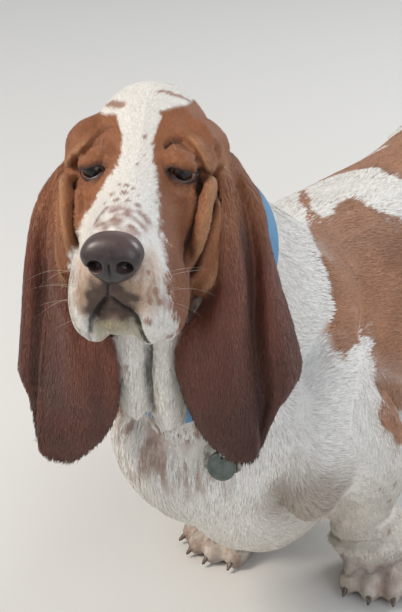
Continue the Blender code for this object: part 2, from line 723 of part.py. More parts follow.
def nose_body(name, grow=0.0, plain=False):
    """Leather of the nose: a rounded block, wide above and pinched below."""
    w, d, h = NOSE_HALF
    rows, around = 16, 28
    rings = []
    for i in range(rows):
        a = math.pi * (i + 0.55) / (rows + 0.1)
        y = -math.cos(a)
        r = math.sin(a) ** 0.62
        ring = []
        for k in range(around):
            b = 2 * math.pi * k / around
            cx, cz = math.cos(b), math.sin(b)
            q = (abs(cx) ** 2.6 + abs(cz) ** 2.6) ** (-1 / 2.6)
            x, z = cx * q, cz * q
            x *= 1.0 - 0.20 * max(0.0, -z) - 0.05 * max(0.0, z)
            ring.append((x * r * (w + grow), NOSE_AT[1] + y * (d + grow), NOSE_AT[2] + z * r * (h + grow)))
        rings.append(ring)
    v, f = skin_rings(on_head(np.array(rings).reshape(-1, 3)).reshape(rows, around, 3))
    body = outward(new_body(name, v, f))
    if plain:
        return body
    for s in (-1, 1):
        hole = round_body("nostril", (s * 0.0104, NOSE_AT[1] - 0.0130, NOSE_AT[2] + 0.0006),
                          (0.0048, 0.0080, 0.0044), on_head, (0.15, s * 0.35, s * 0.30), 8, 14)
        cut(body, hole)
        slit = round_body("slit", (s * 0.0160, NOSE_AT[1] - 0.0100, NOSE_AT[2] - 0.0030),
                          (0.0066, 0.0060, 0.0019), on_head, (0.0, s * 0.30, s * -0.5), 8, 14)
        cut(body, slit)
    line = round_body("philtrum", (0.0, NOSE_AT[1] - 0.0145, NOSE_AT[2] - 0.0080),
                      (0.0009, 0.0035, 0.0100), on_head, (0.1, 0, 0), 8, 12)
    cut(body, line)
    largest_only(body)
    return largest_only(thin_out(body, 560))


def claw_body(name, place, tx, ty, fan, grow=0.0):
    """Blunt claw, curved down from the tip of a toe."""
    c, s = math.cos(fan), math.sin(fan)
    rings = []
    for k, r in enumerate((0.0031, 0.0034, 0.0017)):
        t = k / 2
        fwd = 0.0105 + 0.0140 * t
        z = 0.0142 - 0.0078 * t ** 1.7
        a = np.linspace(0, 2 * math.pi, 6, endpoint=False)
        across = np.cos(a) * (r + grow)
        rings.append(np.column_stack([tx + s * fwd + c * across, ty - c * fwd + s * across,
                                      z + np.sin(a) * (r + grow) * 1.15]))
    v, f = skin_rings(place(np.array(rings).reshape(-1, 3)).reshape(3, 6, 3))
    return outward(new_body(name, v, f))


# collar and tags
COLLAR_AT = np.array([-0.036, -0.122, 0.369])
COLLAR_BACK = np.array([0.05, 0.57, 0.82])
COLLAR_WIDE = 0.021
COLLAR_THICK = 0.0026
LOOP_R = 0.0100
RING_R = 0.0145
TAG_TURN = -58.0
LOOP_WIRE = 0.0010
RING_WIRE = 0.0008
LOOP_DROP = 0.0040
LOOP_AHEAD = 0.0100
LINK_LAP = 0.0023
TAG_THICK = 0.0012
TAG_APART = 0.0017
HOLE_DROP = 0.0086
DISC_R = 0.0120
DISC_SIDES = 28
BONE_HALF = 0.0165
BONE_LOBE = 0.0066
BONE_WAIST = 0.0050
BONE_HOLE = 0.0026
BONE_SIDES = 32


def collar_frame():
    back = COLLAR_BACK / np.linalg.norm(COLLAR_BACK)
    side = np.array([1.0, -0.12, -0.12])
    side -= back * (side @ back)
    side /= np.linalg.norm(side)
    axis = np.cross(side, back)
    return side, back, axis


def collar_loop(neck_shape, count=36):
    """Distance from the collar's centre to the neck, all round, at both edges and the middle."""
    side, back, axis = collar_frame()
    tree = neck_shape
    reach = np.zeros((3, count))
    for r, off in enumerate((-0.5, 0.0, 0.5)):
        origin = COLLAR_AT + axis * off * COLLAR_WIDE
        for k in range(count):
            a = 2 * math.pi * k / count
            d = side * math.cos(a) + back * math.sin(a)
            hit = tree.ray_cast(Vector(origin), Vector(d), 0.2)
            reach[r, k] = hit[3] if hit[3] else 0.07
    for _ in range(3):
        soft = (np.roll(reach, 1, 1) + reach * 2 + np.roll(reach, -1, 1)) / 4
        reach = np.maximum(soft, reach * 0.5 + soft * 0.5)
    return reach


def collar_body(name, reach, slack, grow=0.0):
    """Flat band round the neck; `grow` swells it on every side."""
    side, back, axis = collar_frame()
    thick, wide_by = COLLAR_THICK + 2 * grow, COLLAR_WIDE + 2 * grow
    slack = slack - grow
    count = reach.shape[1]
    verts, faces = [], []
    for k in range(count):
        a = 2 * math.pi * k / count
        d = side * math.cos(a) + back * math.sin(a)
        mid = max(reach[:, k])
        low = reach[0, k] * 0.5 + mid * 0.5 + slack
        high = reach[2, k] * 0.5 + mid * 0.5 + slack
        for off, r in ((-0.5, low), (0.5, high)):
            base = COLLAR_AT + axis * off * wide_by
            verts.append(base + d * r)
            verts.append(base + d * (r + thick))
    for k in range(count):
        a, b = 4 * k, 4 * ((k + 1) % count)
        for i, j in ((0, 1), (1, 3), (3, 2), (2, 0)):
            faces.append((a + i, b + i, b + j, a + j))
    return outward(new_body(name, verts, faces))


def ring_body(name, centre, radius, wire, across, up, steps=20, around=6):
    """Round wire ring in the plane of `across` and `up`."""
    across, up = np.asarray(across, float), np.asarray(up, float)
    across /= np.linalg.norm(across)
    up = up - across * (up @ across)
    up /= np.linalg.norm(up)
    out = np.cross(across, up)
    verts, faces = [], []
    for i in range(steps):
        a = 2 * math.pi * i / steps
        d = across * math.cos(a) + up * math.sin(a)
        for j in range(around):
            b = 2 * math.pi * j / around
            verts.append(centre + d * (radius + wire * math.cos(b)) + out * wire * math.sin(b))
    for i in range(steps):
        for j in range(around):
            a, b = i * around, ((i + 1) % steps) * around
            k = (j + 1) % around
            faces.append((a + j, b + j, b + k, a + k))
    return outward(new_body(name, verts, faces))


def plate_body(name, outline, centre, across, up, thick, hole_at=None, hole_r=0.0018):
    """Flat plate of a given outline, with a round hole for its ring."""
    across, up = np.asarray(across, float), np.asarray(up, float)
    across /= np.linalg.norm(across)
    up = up - across * (up @ across)
    up /= np.linalg.norm(up)
    out = np.cross(across, up)

    def prism(line, half, label):
        n = len(line)
        verts = [centre + across * p[0] + up * p[1] + out * half for p in line]
        verts += [centre + across * p[0] + up * p[1] - out * half for p in line]
        faces = [tuple(range(n)), tuple(range(2 * n - 1, n - 1, -1))]
        faces += [(i, n + i, n + (i + 1) % n, (i + 1) % n) for i in range(n)]
        return outward(new_body(label, verts, faces))
    body = prism(outline, thick / 2, name)
    if hole_at is not None:
        circle = [(hole_at[0] + hole_r * math.cos(2 * math.pi * k / 12),
                   hole_at[1] + hole_r * math.sin(2 * math.pi * k / 12)) for k in range(12)]
        cut(body, prism(circle, thick * 3, "hole"))
    return largest_only(body)


def bone_outline(half, lobe, waist, steps=40):
    """Outline of a bone: two pairs of round lobes with a narrower waist."""
    line = []
    for k in range(steps):
        a = 2 * math.pi * k / steps
        c, s = math.cos(a), math.sin(a)
        best = 0.0
        for sx in (-1, 1):
            for sy in (-1, 1):
                p = (sx * (half - lobe), sy * lobe * 0.72)
                b = c * p[0] + s * p[1]
                disc = b * b - (p[0] ** 2 + p[1] ** 2 - lobe ** 2)
                if disc > 0:
                    best = max(best, b + math.sqrt(disc))
        if abs(s) > 1e-6:
            bar = waist / abs(s)
            if abs(c * bar) < half - lobe:
                best = max(best, bar)
        line.append((c * best, s * best))
    return line


# build
def foreleg_cutter(s):
    fx, fy, _ = FORE[s]
    col = fx - s * 0.018

    def make(grow):
        return stack_body("leg_cut", (
            (-0.02, fx, fy - 0.014, 0.064, 0.078), (0.056, fx, fy - 0.014, 0.060, 0.072),
            (0.088, col + s * 0.006, fy - 0.014, 0.046, 0.056), (0.115, col + s * 0.012, fy - 0.016, 0.046, 0.056),
            (0.150, col + s * 0.024, fy - 0.030, 0.046, 0.062), (0.185, col + s * 0.034, fy - 0.048, 0.044, 0.066),
            (0.220, col + s * 0.040, fy - 0.068, 0.038, 0.064), (0.250, col + s * 0.044, fy - 0.080, 0.028, 0.048),
            (0.272, col + s * 0.047, fy - 0.088, 0.013, 0.025)), grow)
    return make


def hindleg_cutter(s):
    def make(grow):
        return stack_body("leg_cut", (
            (-0.02, s * 0.095, 0.494, 0.062, 0.085), (0.090, s * 0.095, 0.509, 0.062, 0.080),
            (0.140, s * 0.104, 0.482, 0.055, 0.090), (0.190, s * 0.110, 0.456, 0.055, 0.085),
            (0.245, s * 0.116, 0.459, 0.048, 0.078), (0.290, s * 0.120, 0.464, 0.036, 0.058),
            (0.312, s * 0.123, 0.466, 0.018, 0.030)), grow)
    return make


def floor_flat(body):
    """Cut what lies below the floor line, leaving small flats at one level."""
    bm = bmesh.new()
    bm.from_mesh(body.data)
    bmesh.ops.bisect_plane(bm, geom=bm.verts[:] + bm.edges[:] + bm.faces[:], dist=1e-6,
                           plane_co=(0, 0, FLOOR_CUT), plane_no=(0, 0, -1), clear_outer=True)
    edges = [e for e in bm.edges if e.is_boundary]
    bmesh.ops.holes_fill(bm, edges=edges, sides=0)
    bmesh.ops.recalc_face_normals(bm, faces=bm.faces)
    bm.to_mesh(body.data)
    bm.free()
    return body


def main():
    for ob in list(bpy.data.objects):
        bpy.data.objects.remove(ob, do_unlink=True)

    # neck without its dewlap, only to fit the collar
    bare = fuse("bare", [slab_mass(TORSO, leaned)] + neck_masses(), 0.004)
    soften(bare, 6)
    tree = BVHTree.FromPolygons([tuple(c) for c in coords(bare)],
                                [tuple(p.vertices) for p in bare.data.polygons])
    reach = collar_loop(tree)
    drop(bare)

    masses = [slab_mass(TORSO, leaned)] + neck_masses() + dewlap_masses() + head_masses() + tail_masses()
    for s in (-1, 1):
        masses += foreleg_masses(s) + hindleg_masses(s)
    flesh = fuse("flesh", masses, GRAIN)
    soften(flesh, 8)
    # broad masses of the trunk melt into each other more than face and feet do
    co = coords(flesh)
    trunk = np.clip((co[:, 2] - 0.10) / 0.06, 0, 1) * np.clip((co[:, 1] + 0.16) / 0.06, 0, 1)
    soften(flesh, 90, 0.6, trunk)
    fold_lines(flesh)
    soften(flesh, 1)
    thin_out(flesh, 6900, on_head([(0, -0.035, -0.03)])[0], 0.115)
    floor_flat(flesh)
    largest_only(flesh)
    swell = swollen(flesh, "swell", GAP)
    # collar, before the neck is parted, and its slack in the neck's own skin
    collar = collar_body("collar", reach, 0.0009)
    cut(flesh, collar_body("collar_bed", reach, 0.0009, GAP))

    # sockets of eyes and nose
    pieces = {}
    for s, side in ((1, "left"), (-1, "right")):
        c = eye_centre(s)
        cut(flesh, eye_opening("lids", s))
        cut(flesh, round_body("socket", c, (EYE_R + GAP,) * 3, rows=10, around=14))
        pieces["eye_" + side] = round_body("eye_" + side, c, (EYE_R,) * 3, rows=10, around=14)
    cut(flesh, nose_body("nose_socket", GAP, plain=True))
    pieces["nose"] = nose_body("nose")
    largest_only(flesh)

    # claws, and their sockets in the toes
    feet = []
    for s, side in ((1, "left"), (-1, "right")):
        feet.append(("fore", side, foot_frame(*FORE[s], 1.0)))
        feet.append(("hind", side, foot_frame(*HIND[s], 0.92)))
    for pair, side, place in feet:
        for k, (tx, ty, fan) in enumerate(TOES):
            cut(flesh, claw_body("claw_socket", place, tx, ty, fan, GAP))
            label = "claw_%s_%s_%d" % (pair, side, k + 1)
            pieces[label] = claw_body(label, place, tx, ty, fan)

    # part the flesh
    head_plane = on_head([(0, 0.132, 0.030)])[0]
    head_normal = np.array([0, -0.683, 0.73]) @ HEAD_TURN.T
    pieces["head"] = split_by(flesh, "head", lambda g: box_beyond("b", head_plane, head_normal, 0.5, -g))
    neck_normal = np.array([0.0, -0.664, 0.747])
    neck_plane = (0.0, -0.206, 0.248)
    pieces["neck"] = split_by(flesh, "neck", lambda g: box_beyond("b", neck_plane, neck_normal, 0.5, -g))
    pieces["tail"] = split_by(flesh, "tail", lambda g: box_beyond("b", (0, 0.598, 0.3), (0, 1, 0.05), 0.4, -g))
    for s, side in ((1, "left"), (-1, "right")):
        pieces["foreleg_" + side] = split_by(flesh, "foreleg_" + side, foreleg_cutter(s))
        pieces["hindleg_" + side] = split_by(flesh, "hindleg_" + side, hindleg_cutter(s))
    pieces["torso"] = flesh
    flesh.name = "torso"

    pieces["collar"] = collar

    # ears, kept clear of the head by the fit
    for s, side in ((1, "left"), (-1, "right")):
        ear = ear_body("ear_" + side, s)
        cut(ear, swell, keep=True)
        pieces["ear_" + side] = largest_only(ear)
    drop(swell)

    # tags hang plumb in front of the chest: a loop under the collar, a ring, two plates
    across, up = np.array([0.95, 0.30, 0.0]), np.array([0.0, 0.22, 0.975])
    across /= np.linalg.norm(across)
    up = up - across * (up @ across)
    up /= np.linalg.norm(up)
    out = np.cross(across, up)
    side_v, back_v, axis_v = collar_frame()
    turn_by = math.radians(TAG_TURN)
    toward = side_v * math.cos(turn_by) + back_v * math.sin(turn_by)
    k = int(round((TAG_TURN % 360.0) / 360.0 * reach.shape[1])) % reach.shape[1]
    under = min((COLLAR_AT + axis_v * off * COLLAR_WIDE + toward * (reach[r, k] + 0.002)
                 for r, off in ((0, -0.5), (2, 0.5))), key=lambda q: q[2])
    loop_at = under + np.array([0.0, -LOOP_AHEAD, -LOOP_R - LOOP_DROP])
    ring_at = loop_at - up * (RING_R + LOOP_R - LINK_LAP)
    tag_at = ring_at - up * (HOLE_DROP + RING_R)
    pieces["tag_ring"] = ring_body("tag_ring", ring_at, RING_R, RING_WIRE, out, up, 18, 5)
    pieces["tag_loop"] = ring_body("tag_loop", loop_at, LOOP_R, LOOP_WIRE, across, up, 16, 5)
    bone = bone_outline(BONE_HALF, BONE_LOBE, BONE_WAIST, BONE_SIDES)
    pieces["tag_bone"] = plate_body("tag_bone", bone, tag_at - out * TAG_APART + up * (HOLE_DROP - BONE_HOLE),
                                    across, up, TAG_THICK, (0.0, BONE_HOLE))
    angles = [2 * math.pi * k / DISC_SIDES for k in range(DISC_SIDES)]
    disc = [(DISC_R * math.cos(a), DISC_R * math.sin(a)) for a in angles]
    pieces["tag_disc"] = plate_body("tag_disc", disc, tag_at + out * TAG_APART, across, up, TAG_THICK,
                                    (0.0, HOLE_DROP))

    looks = {
        "coat_white": ((0.80, 0.76, 0.70), 0.9, 0.0), "coat_brown": ((0.22, 0.10, 0.06), 0.9, 0.0),
        "leather": ((0.07, 0.045, 0.05), 0.4, 0.0), "eye": ((0.03, 0.018, 0.012), 0.1, 0.0),
        "claw": ((0.10, 0.08, 0.07), 0.45, 0.0), "web": ((0.22, 0.47, 0.70), 0.85, 0.0),
        "alloy": ((0.45, 0.47, 0.48), 0.4, 1.0),
    }
    for label, body in pieces.items():
        kind = ("eye" if label.startswith("eye") else "claw" if label.startswith("claw")
                else "leather" if label == "nose" else "web" if label == "collar"
                else "alloy" if label.startswith("tag") else "coat_brown" if label.startswith("ear")
                else "coat_white")
        base, rough, metal = looks[kind]
        body.name = label
        body.data.name = label
        paint(body, label + "_" + kind, base, rough, metal)

    # origin at the middle of the ground under the whole dog
    lo = np.min([coords(b).min(0) for b in pieces.values()], axis=0)
    hi = np.max([coords(b).max(0) for b in pieces.values()], axis=0)
    shift = np.array([(lo[0] + hi[0]) / 2, (lo[1] + hi[1]) / 2, lo[2]])
    for body in pieces.values():
        set_coords(body, coords(body) - shift)


main()
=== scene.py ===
"""A basset hound, life size and standing: one skin with a short coat, its eyes, nose, claws,
whiskers, webbing collar and bare metal tags, on a pale studio floor."""

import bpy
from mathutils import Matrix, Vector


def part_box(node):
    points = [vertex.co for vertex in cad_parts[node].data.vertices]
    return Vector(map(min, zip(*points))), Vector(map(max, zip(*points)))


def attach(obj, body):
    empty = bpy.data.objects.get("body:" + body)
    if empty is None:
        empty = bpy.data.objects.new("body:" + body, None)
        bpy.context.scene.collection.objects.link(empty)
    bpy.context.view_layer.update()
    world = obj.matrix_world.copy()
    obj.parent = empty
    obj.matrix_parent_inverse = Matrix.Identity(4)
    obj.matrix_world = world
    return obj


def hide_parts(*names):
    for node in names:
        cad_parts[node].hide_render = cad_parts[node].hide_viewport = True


bl_info = {
    "name": "Basset hound",
    "version": (1, 0, 0),
    "blender": (4, 5, 0),
    "location": "3D View > Sidebar > Hound",
    "description": "Builds a standing basset hound with its coat, eyes, nose, claws, collar and tags",
    "category": "Object",
}

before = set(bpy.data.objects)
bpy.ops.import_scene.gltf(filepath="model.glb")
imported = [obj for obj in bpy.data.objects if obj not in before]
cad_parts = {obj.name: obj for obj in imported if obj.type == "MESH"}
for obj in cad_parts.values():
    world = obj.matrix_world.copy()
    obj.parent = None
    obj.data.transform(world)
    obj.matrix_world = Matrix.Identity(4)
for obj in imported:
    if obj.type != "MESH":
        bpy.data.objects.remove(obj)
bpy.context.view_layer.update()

import functools
import math

import bmesh
import bpy
import numpy as np
from bpy.props import FloatProperty, FloatVectorProperty, IntProperty, PointerProperty
from mathutils import Vector

BODY = "root"
MM = 0.001
# Points nearer to one another than this are one point.
WELD_STEP = 0.01 * MM

FLESH = (
    "head", "neck", "torso", "tail",
    "foreleg_left", "foreleg_right", "hindleg_left", "hindleg_right",
    "ear_left", "ear_right",
)

EYES = ("eye_left", "eye_right")

# The skull's turn to its left, its tip down and its lean, in degrees, and where the line
# between the eyes lies behind the face's own origin.
HEAD_TURN = math.radians(20.85)
HEAD_TIP = math.radians(-4.7)
HEAD_LEAN = math.radians(-0.9)
EYE_BEHIND = 0.008


def middle(node):
    """The middle of a node's box."""
    low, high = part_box(node)
    return np.array((low + high) / 2)


def turned(axis, angle):
    """The matrix that turns about x, y or z by the angle."""
    c, s = math.cos(angle), math.sin(angle)
    a, b = [i for i in range(3) if i != axis]
    matrix = np.eye(3)
    matrix[a, a] = matrix[b, b] = c
    matrix[a, b] = s if axis == 1 else -s
    matrix[b, a] = -matrix[a, b]
    return matrix


HEAD_AXES = turned(2, HEAD_TURN) @ turned(0, HEAD_TIP) @ turned(1, HEAD_LEAN)
EYE_CENTRES = {1: middle("eye_left"), -1: middle("eye_right")}
HEAD_AT = (EYE_CENTRES[1] + EYE_CENTRES[-1]) / 2 - HEAD_AXES @ np.array([0, EYE_BEHIND, 0])
EYE_R = float(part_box("eye_left")[1].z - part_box("eye_left")[0].z) / 2


def to_head(points):
    """Points in the skull's own frame: x to its left, y to the back, z up."""
    return (points - HEAD_AT) @ HEAD_AXES


NOSE_CENTRE = to_head(middle("nose")[None])[0]


def from_head(points):
    """Points of the skull's own frame back in the room's."""
    return np.asarray(points, float) @ HEAD_AXES.T + HEAD_AT


def linear(code):
    """An sRGB hex colour as linear red, green, blue and alpha."""
    channels = [int(code[i : i + 2], 16) / 255 for i in (1, 3, 5)]
    return tuple(c / 12.92 if c <= 0.04045 else ((c + 0.055) / 1.055) ** 2.4 for c in channels) + (1.0,)


def ramp(low, high, value):
    """0 below low, 1 above high, and an even S between them."""
    t = np.clip((value - low) / (high - low), 0, 1)
    return t * t * (3 - 2 * t)


def between(a, b, share):
    """a where share is 0, b where it is 1, for numbers."""
    return a + (b - a) * share


def mix(a, b, share):
    """a where share is 0, b where it is 1, for colours and directions."""
    return between(a, b, share[:, None] if np.ndim(share) == 1 else share)


def lattice_noise(points, size, seed=0):
    """Smooth noise from -1 to 1: a random number at each corner of a lattice with cells of that
    size, blended by S curves between a cell's eight corners."""
    place = points / size + seed * 31.7
    cell = np.floor(place).astype(np.int64)
    inside = place - cell
    inside = inside * inside * (3 - 2 * inside)
    total = np.zeros(len(points))
    for corner in np.ndindex(2, 2, 2):
        x, y, z = (cell + corner).T
        mixed = (x * 374761393 + y * 668265263 + z * 2147483647 + seed * 974711) & 0xFFFFFFFF
        mixed = ((mixed ^ (mixed >> 13)) * 1274126177) & 0xFFFFFFFF
        mixed = (mixed ^ (mixed >> 16)) & 0xFFFF
        weight = np.prod(np.where(corner, inside, 1 - inside), axis=1)
        total += weight * (mixed / 32767.5 - 1)
    return total


def unit(vectors):
    """Each row at length one."""
    return vectors / np.maximum(np.linalg.norm(vectors, axis=1, keepdims=True), 1e-12)


def path_distance(points, path):
    """How far each point is from a chain of straight runs, and how far along it, from 0 to 1."""
    path = np.asarray(path, float)
    runs = np.diff(path, axis=0)
    lengths = np.linalg.norm(runs, axis=1)
    before = np.concatenate([[0], np.cumsum(lengths)])
    nearest = np.full(len(points), np.inf)
    along = np.zeros(len(points))
    for start, run, length, passed in zip(path, runs, lengths, before):
        t = np.clip((points - start) @ run / length**2, 0, 1)
        gap = np.linalg.norm(points - start - t[:, None] * run, axis=1)
        closer = gap < nearest
        nearest = np.where(closer, gap, nearest)
        along = np.where(closer, (passed + t * length) / before[-1], along)
    return nearest, along


def patch_depth(flat, outline):
    """How far each flat point is inside a closed outline, below 0 outside it."""
    outline = np.asarray(outline, float)
    gap, _ = path_distance(flat, np.vstack([outline, outline[:1]]))
    inside = np.zeros(len(flat), bool)
    for (ax, ay), (bx, by) in zip(outline, np.roll(outline, -1, axis=0)):
        crosses = (ay > flat[:, 1]) != (by > flat[:, 1])
        slope = (bx - ax) / (by - ay if by != ay else 1e-12)
        inside ^= crosses & (flat[:, 0] < ax + slope * (flat[:, 1] - ay))
    return np.where(inside, gap, -gap)


def add_node(tree, kind, links=(), **settings):
    """Adds a shader node. Settings named after sockets, or numbers as in_0, set those sockets, the
    rest set the node's own values. Links join (socket, output), where a node stands for its first
    output."""
    node = tree.nodes.new("ShaderNode" + kind)
    for name, value in settings.items():
        if name.startswith("in_"):
            node.inputs[int(name[3:])].default_value = value
        elif name.replace("_", " ") in node.inputs:
            node.inputs[name.replace("_", " ")].default_value = value
        else:
            setattr(node, name, value)
    for socket, source in links:
        output = source.outputs[0] if isinstance(source, bpy.types.Node) else source
        tree.links.new(output, node.inputs[socket])
    return node


def set_stops(bands, stops):
    """Gives a band of colours its stops: positions from 0 to 1, with hex colours."""
    elements = bands.color_ramp.elements
    while len(elements) < len(stops):
        elements.new(0.5)
    for element, (position, code) in zip(elements, stops):
        element.position = position
        element.color = linear(code)


def new_material(name):
    """A material with an empty tree, and the function that adds a node to that tree."""
    material = bpy.data.materials.new(name)
    material.use_nodes = True
    material.node_tree.nodes.clear()
    return material, functools.partial(add_node, material.node_tree)


def make_mesh(name, points, faces):
    """A smooth-shaded mesh of faces that all have the same number of corners."""
    faces = np.asarray(faces, np.int32)
    mesh = bpy.data.meshes.new(name)
    mesh.vertices.add(len(points))
    mesh.vertices.foreach_set("co", np.asarray(points, np.float32).ravel())
    mesh.loops.add(faces.size)
    mesh.loops.foreach_set("vertex_index", faces.ravel())
    mesh.polygons.add(len(faces))
    mesh.polygons.foreach_set("loop_start", np.arange(0, faces.size, faces.shape[1], dtype=np.int32))
    mesh.update(calc_edges=True)
    mesh.polygons.foreach_set("use_smooth", np.ones(len(faces), bool))
    return mesh


def make_piece(name, mesh, material, stands_for=()):
    """Links a mesh as a piece of the hound that rides on its body."""
    piece = bpy.data.objects.new(name, mesh)
    bpy.context.scene.collection.objects.link(piece)
    if material is not None:
        mesh.materials.append(material)
    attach(piece, BODY)
    if stands_for:
        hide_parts(*stands_for)
    return piece


def mesh_arrays(mesh):
    """A mesh's points and triangles as arrays."""
    mesh.calc_loop_triangles()
    points = np.empty(len(mesh.vertices) * 3, np.float32)
    mesh.vertices.foreach_get("co", points)
    triangles = np.empty(len(mesh.loop_triangles) * 3, np.int32)
    mesh.loop_triangles.foreach_get("vertices", triangles)
    return points.reshape(-1, 3).astype(float), triangles.reshape(-1, 3)


def welded(points, triangles):
    """Loose triangles joined where their corners are the same."""
    rounded = np.round(points / WELD_STEP)
    _, first, inverse = np.unique(rounded, axis=0, return_index=True, return_inverse=True)
    return points[first], inverse.reshape(-1)[triangles]


def node_arrays(node):
    """A CAD node's welded points and triangles."""
    return welded(*mesh_arrays(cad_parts[node].data))


def point_normals(points, triangles):
    """The mean of the directions of the faces round each point, by their areas."""
    corners = points[triangles]
    faces = np.cross(corners[:, 1] - corners[:, 0], corners[:, 2] - corners[:, 0])
    normals = np.zeros_like(points)
    for corner in range(3):
        for axis in range(3):
            normals[:, axis] += np.bincount(triangles[:, corner], faces[:, axis], len(points))
    return unit(normals)


def edges_of(triangles):
    """Each edge of the triangles once."""
    pairs = np.vstack([triangles[:, [0, 1]], triangles[:, [1, 2]], triangles[:, [2, 0]]])
    return np.unique(np.sort(pairs, axis=1), axis=0)


def neighbour_mean(values, edges, count):
    """The mean of each point's neighbours."""
    total = np.empty_like(values)
    for axis in range(values.shape[1]):
        total[:, axis] = np.bincount(edges[:, 0], values[edges[:, 1], axis], len(values))
        total[:, axis] += np.bincount(edges[:, 1], values[edges[:, 0], axis], len(values))
    return total / np.maximum(count, 1)[:, None]


def relaxed(values, edges, rounds, strength, back=0.0):
    """Each value moves a share of the way to its neighbours' mean, and then a share back out, so that
    steps go and the volume stays."""
    count = np.bincount(edges.ravel(), minlength=len(values))
    strength = np.broadcast_to(strength, len(values))[:, None]
    for _ in range(rounds):
        values = values + strength * (neighbour_mean(values, edges, count) - values)
        if back:
            values = values - back * strength * (neighbour_mean(values, edges, count) - values)
    return values


def grid_faces(rows, columns, closed=True):
    """Quads over a grid of rows, each row closed round or open."""
    across = columns if closed else columns - 1
    row = np.arange(rows - 1)[:, None] * columns
    here = np.arange(across)[None, :]
    ahead = (here + 1) % columns
    quads = np.stack([row + here, row + ahead, row + columns + ahead, row + columns + here], axis=-1)
    return quads.reshape(-1, 4)


def whole_turn(count):
    """Angles spread evenly round a circle."""
    return np.arange(count) * 2 * math.pi / count


def tube_faces(steps, sides):
    """Quads over a tube that runs round into its own start."""
    return grid_faces(steps + 1, sides) % (steps * sides)


def halved(quads):
    """Each quad as two triangles."""
    return np.vstack([quads[:, [0, 1, 2]], quads[:, [0, 2, 3]]])


def ball_faces(rings, spokes):
    """Triangles over rings of points and fans to the two poles, which are the last two points."""
    first = np.arange(spokes)
    last = (rings - 1) * spokes + first
    pole = rings * spokes
    return np.vstack([
        halved(grid_faces(rings, spokes)),
        np.stack([np.full(spokes, pole), np.roll(first, -1), first], axis=1),
        np.stack([np.full(spokes, pole + 1), last, np.roll(last, -1)], axis=1),
    ])


def outward(points, triangles):
    """The points and triangles with the faces turned to point out of the closed shape."""
    corners = points[triangles] - points.mean(axis=0)
    volume = np.einsum("ij,ij->i", corners[:, 0], np.cross(corners[:, 1], corners[:, 2])).sum()
    return points, triangles if volume > 0 else triangles[:, ::-1]


def colour_attribute(mesh, name, colours):
    """Stores a colour at each point."""
    attribute = mesh.color_attributes.new(name, "FLOAT_COLOR", "POINT")
    rgba = np.ones((len(colours), 4), np.float32)
    rgba[:, :3] = colours
    attribute.data.foreach_set("color", rgba.ravel())


def number_attribute(mesh, name, values):
    """Stores a number at each point."""
    mesh.attributes.new(name, "FLOAT", "POINT").data.foreach_set("value", np.asarray(values, np.float32))


def read_numbers(mesh, name):
    """A number attribute as an array."""
    values = np.empty(len(mesh.vertices), np.float32)
    mesh.attributes[name].data.foreach_get("value", values)
    return values.astype(float)


def read_colours(mesh, name):
    """A colour attribute's red, green and blue as an array."""
    values = np.empty(len(mesh.vertices) * 4, np.float32)
    mesh.color_attributes[name].data.foreach_get("color", values)
    return values.reshape(-1, 4)[:, :3].astype(float)


# The face's white blaze. Its two edges as angles round an upright axis in the skull, in degrees,
# at heights in the skull's own frame; the brown ends at the crown and behind the ears.
BLAZE_AXIS_Y = 0.060
BLAZE_LEFT = (
    (-0.11, 18.5), (-0.097, 17.2), (-0.082, 15.4), (-0.065, 14.1), (-0.042, 14.5), (-0.022, 12.9),
    (-0.005, 12.6), (0.012, 11.1), (0.02, 11.7), (0.027, 16.6), (0.034, 24.0),
)
BLAZE_RIGHT = (
    (-0.11, 34.0), (-0.065, 31.0), (-0.043, 28.1), (-0.03, 24.6), (-0.012, 17.0), (-0.003, 13.5),
    (0.004, 11.4), (0.012, 9.8), (0.02, 11.9), (0.026, 20.4), (0.033, 32.5),
)
CROWN_Z = {1: 0.0385, -1: 0.0335}
CROWN_BACK = 0.085

# A dash over the left brow and one on the forehead, as paths in the skull's own frame, and small
# brown marks on the face, as (x, y, z, half width).
CROWN_DASH = (
    (0.0045, 0.05, 0.05),
    (0.0133, 0.0558, 0.0482),
    (0.021, 0.0561, 0.0452),
    (0.034, 0.064, 0.0385),
)
BROW_MARK = ((-0.0290, 0.0457, 0.0401), (-0.0180, 0.0406, 0.0398))
FACE_TICKS = (
    (0.004, 0.0121, 0.0223, 0.0022), (0.0015, -0.0103, 0.0072, 0.0016),
    (0.0052, -0.003, 0.012, 0.0012), (-0.002, -0.033, -0.003, 0.0024),
    (-0.0068, -0.031, -0.004, 0.0018), (0.003, -0.036, -0.0045, 0.002),
    (-0.0109, -0.0414, -0.0076, 0.0026), (-0.0021, -0.043, -0.0055, 0.003),
    (0.0075, -0.044, -0.008, 0.0018), (-0.015, -0.048, -0.013, 0.0018),
    (-0.006, -0.052, -0.009, 0.003), (0.002, -0.054, -0.0085, 0.0024),
    (0.0095, -0.056, -0.0113, 0.003), (-0.012, -0.06, -0.013, 0.0026),
    (0.015, -0.062, -0.017, 0.0018), (0.0237, -0.0954, -0.0472, 0.002),
    (0.0277, -0.0907, -0.0618, 0.0032), (0.03, -0.0909, -0.07, 0.0028),
    (0.0245, -0.0935, -0.0684, 0.0022), (0.0225, -0.0939, -0.0832, 0.0034),
    (0.032, -0.08, -0.09, 0.0026), (0.0337, -0.0637, -0.105, 0.004),
)

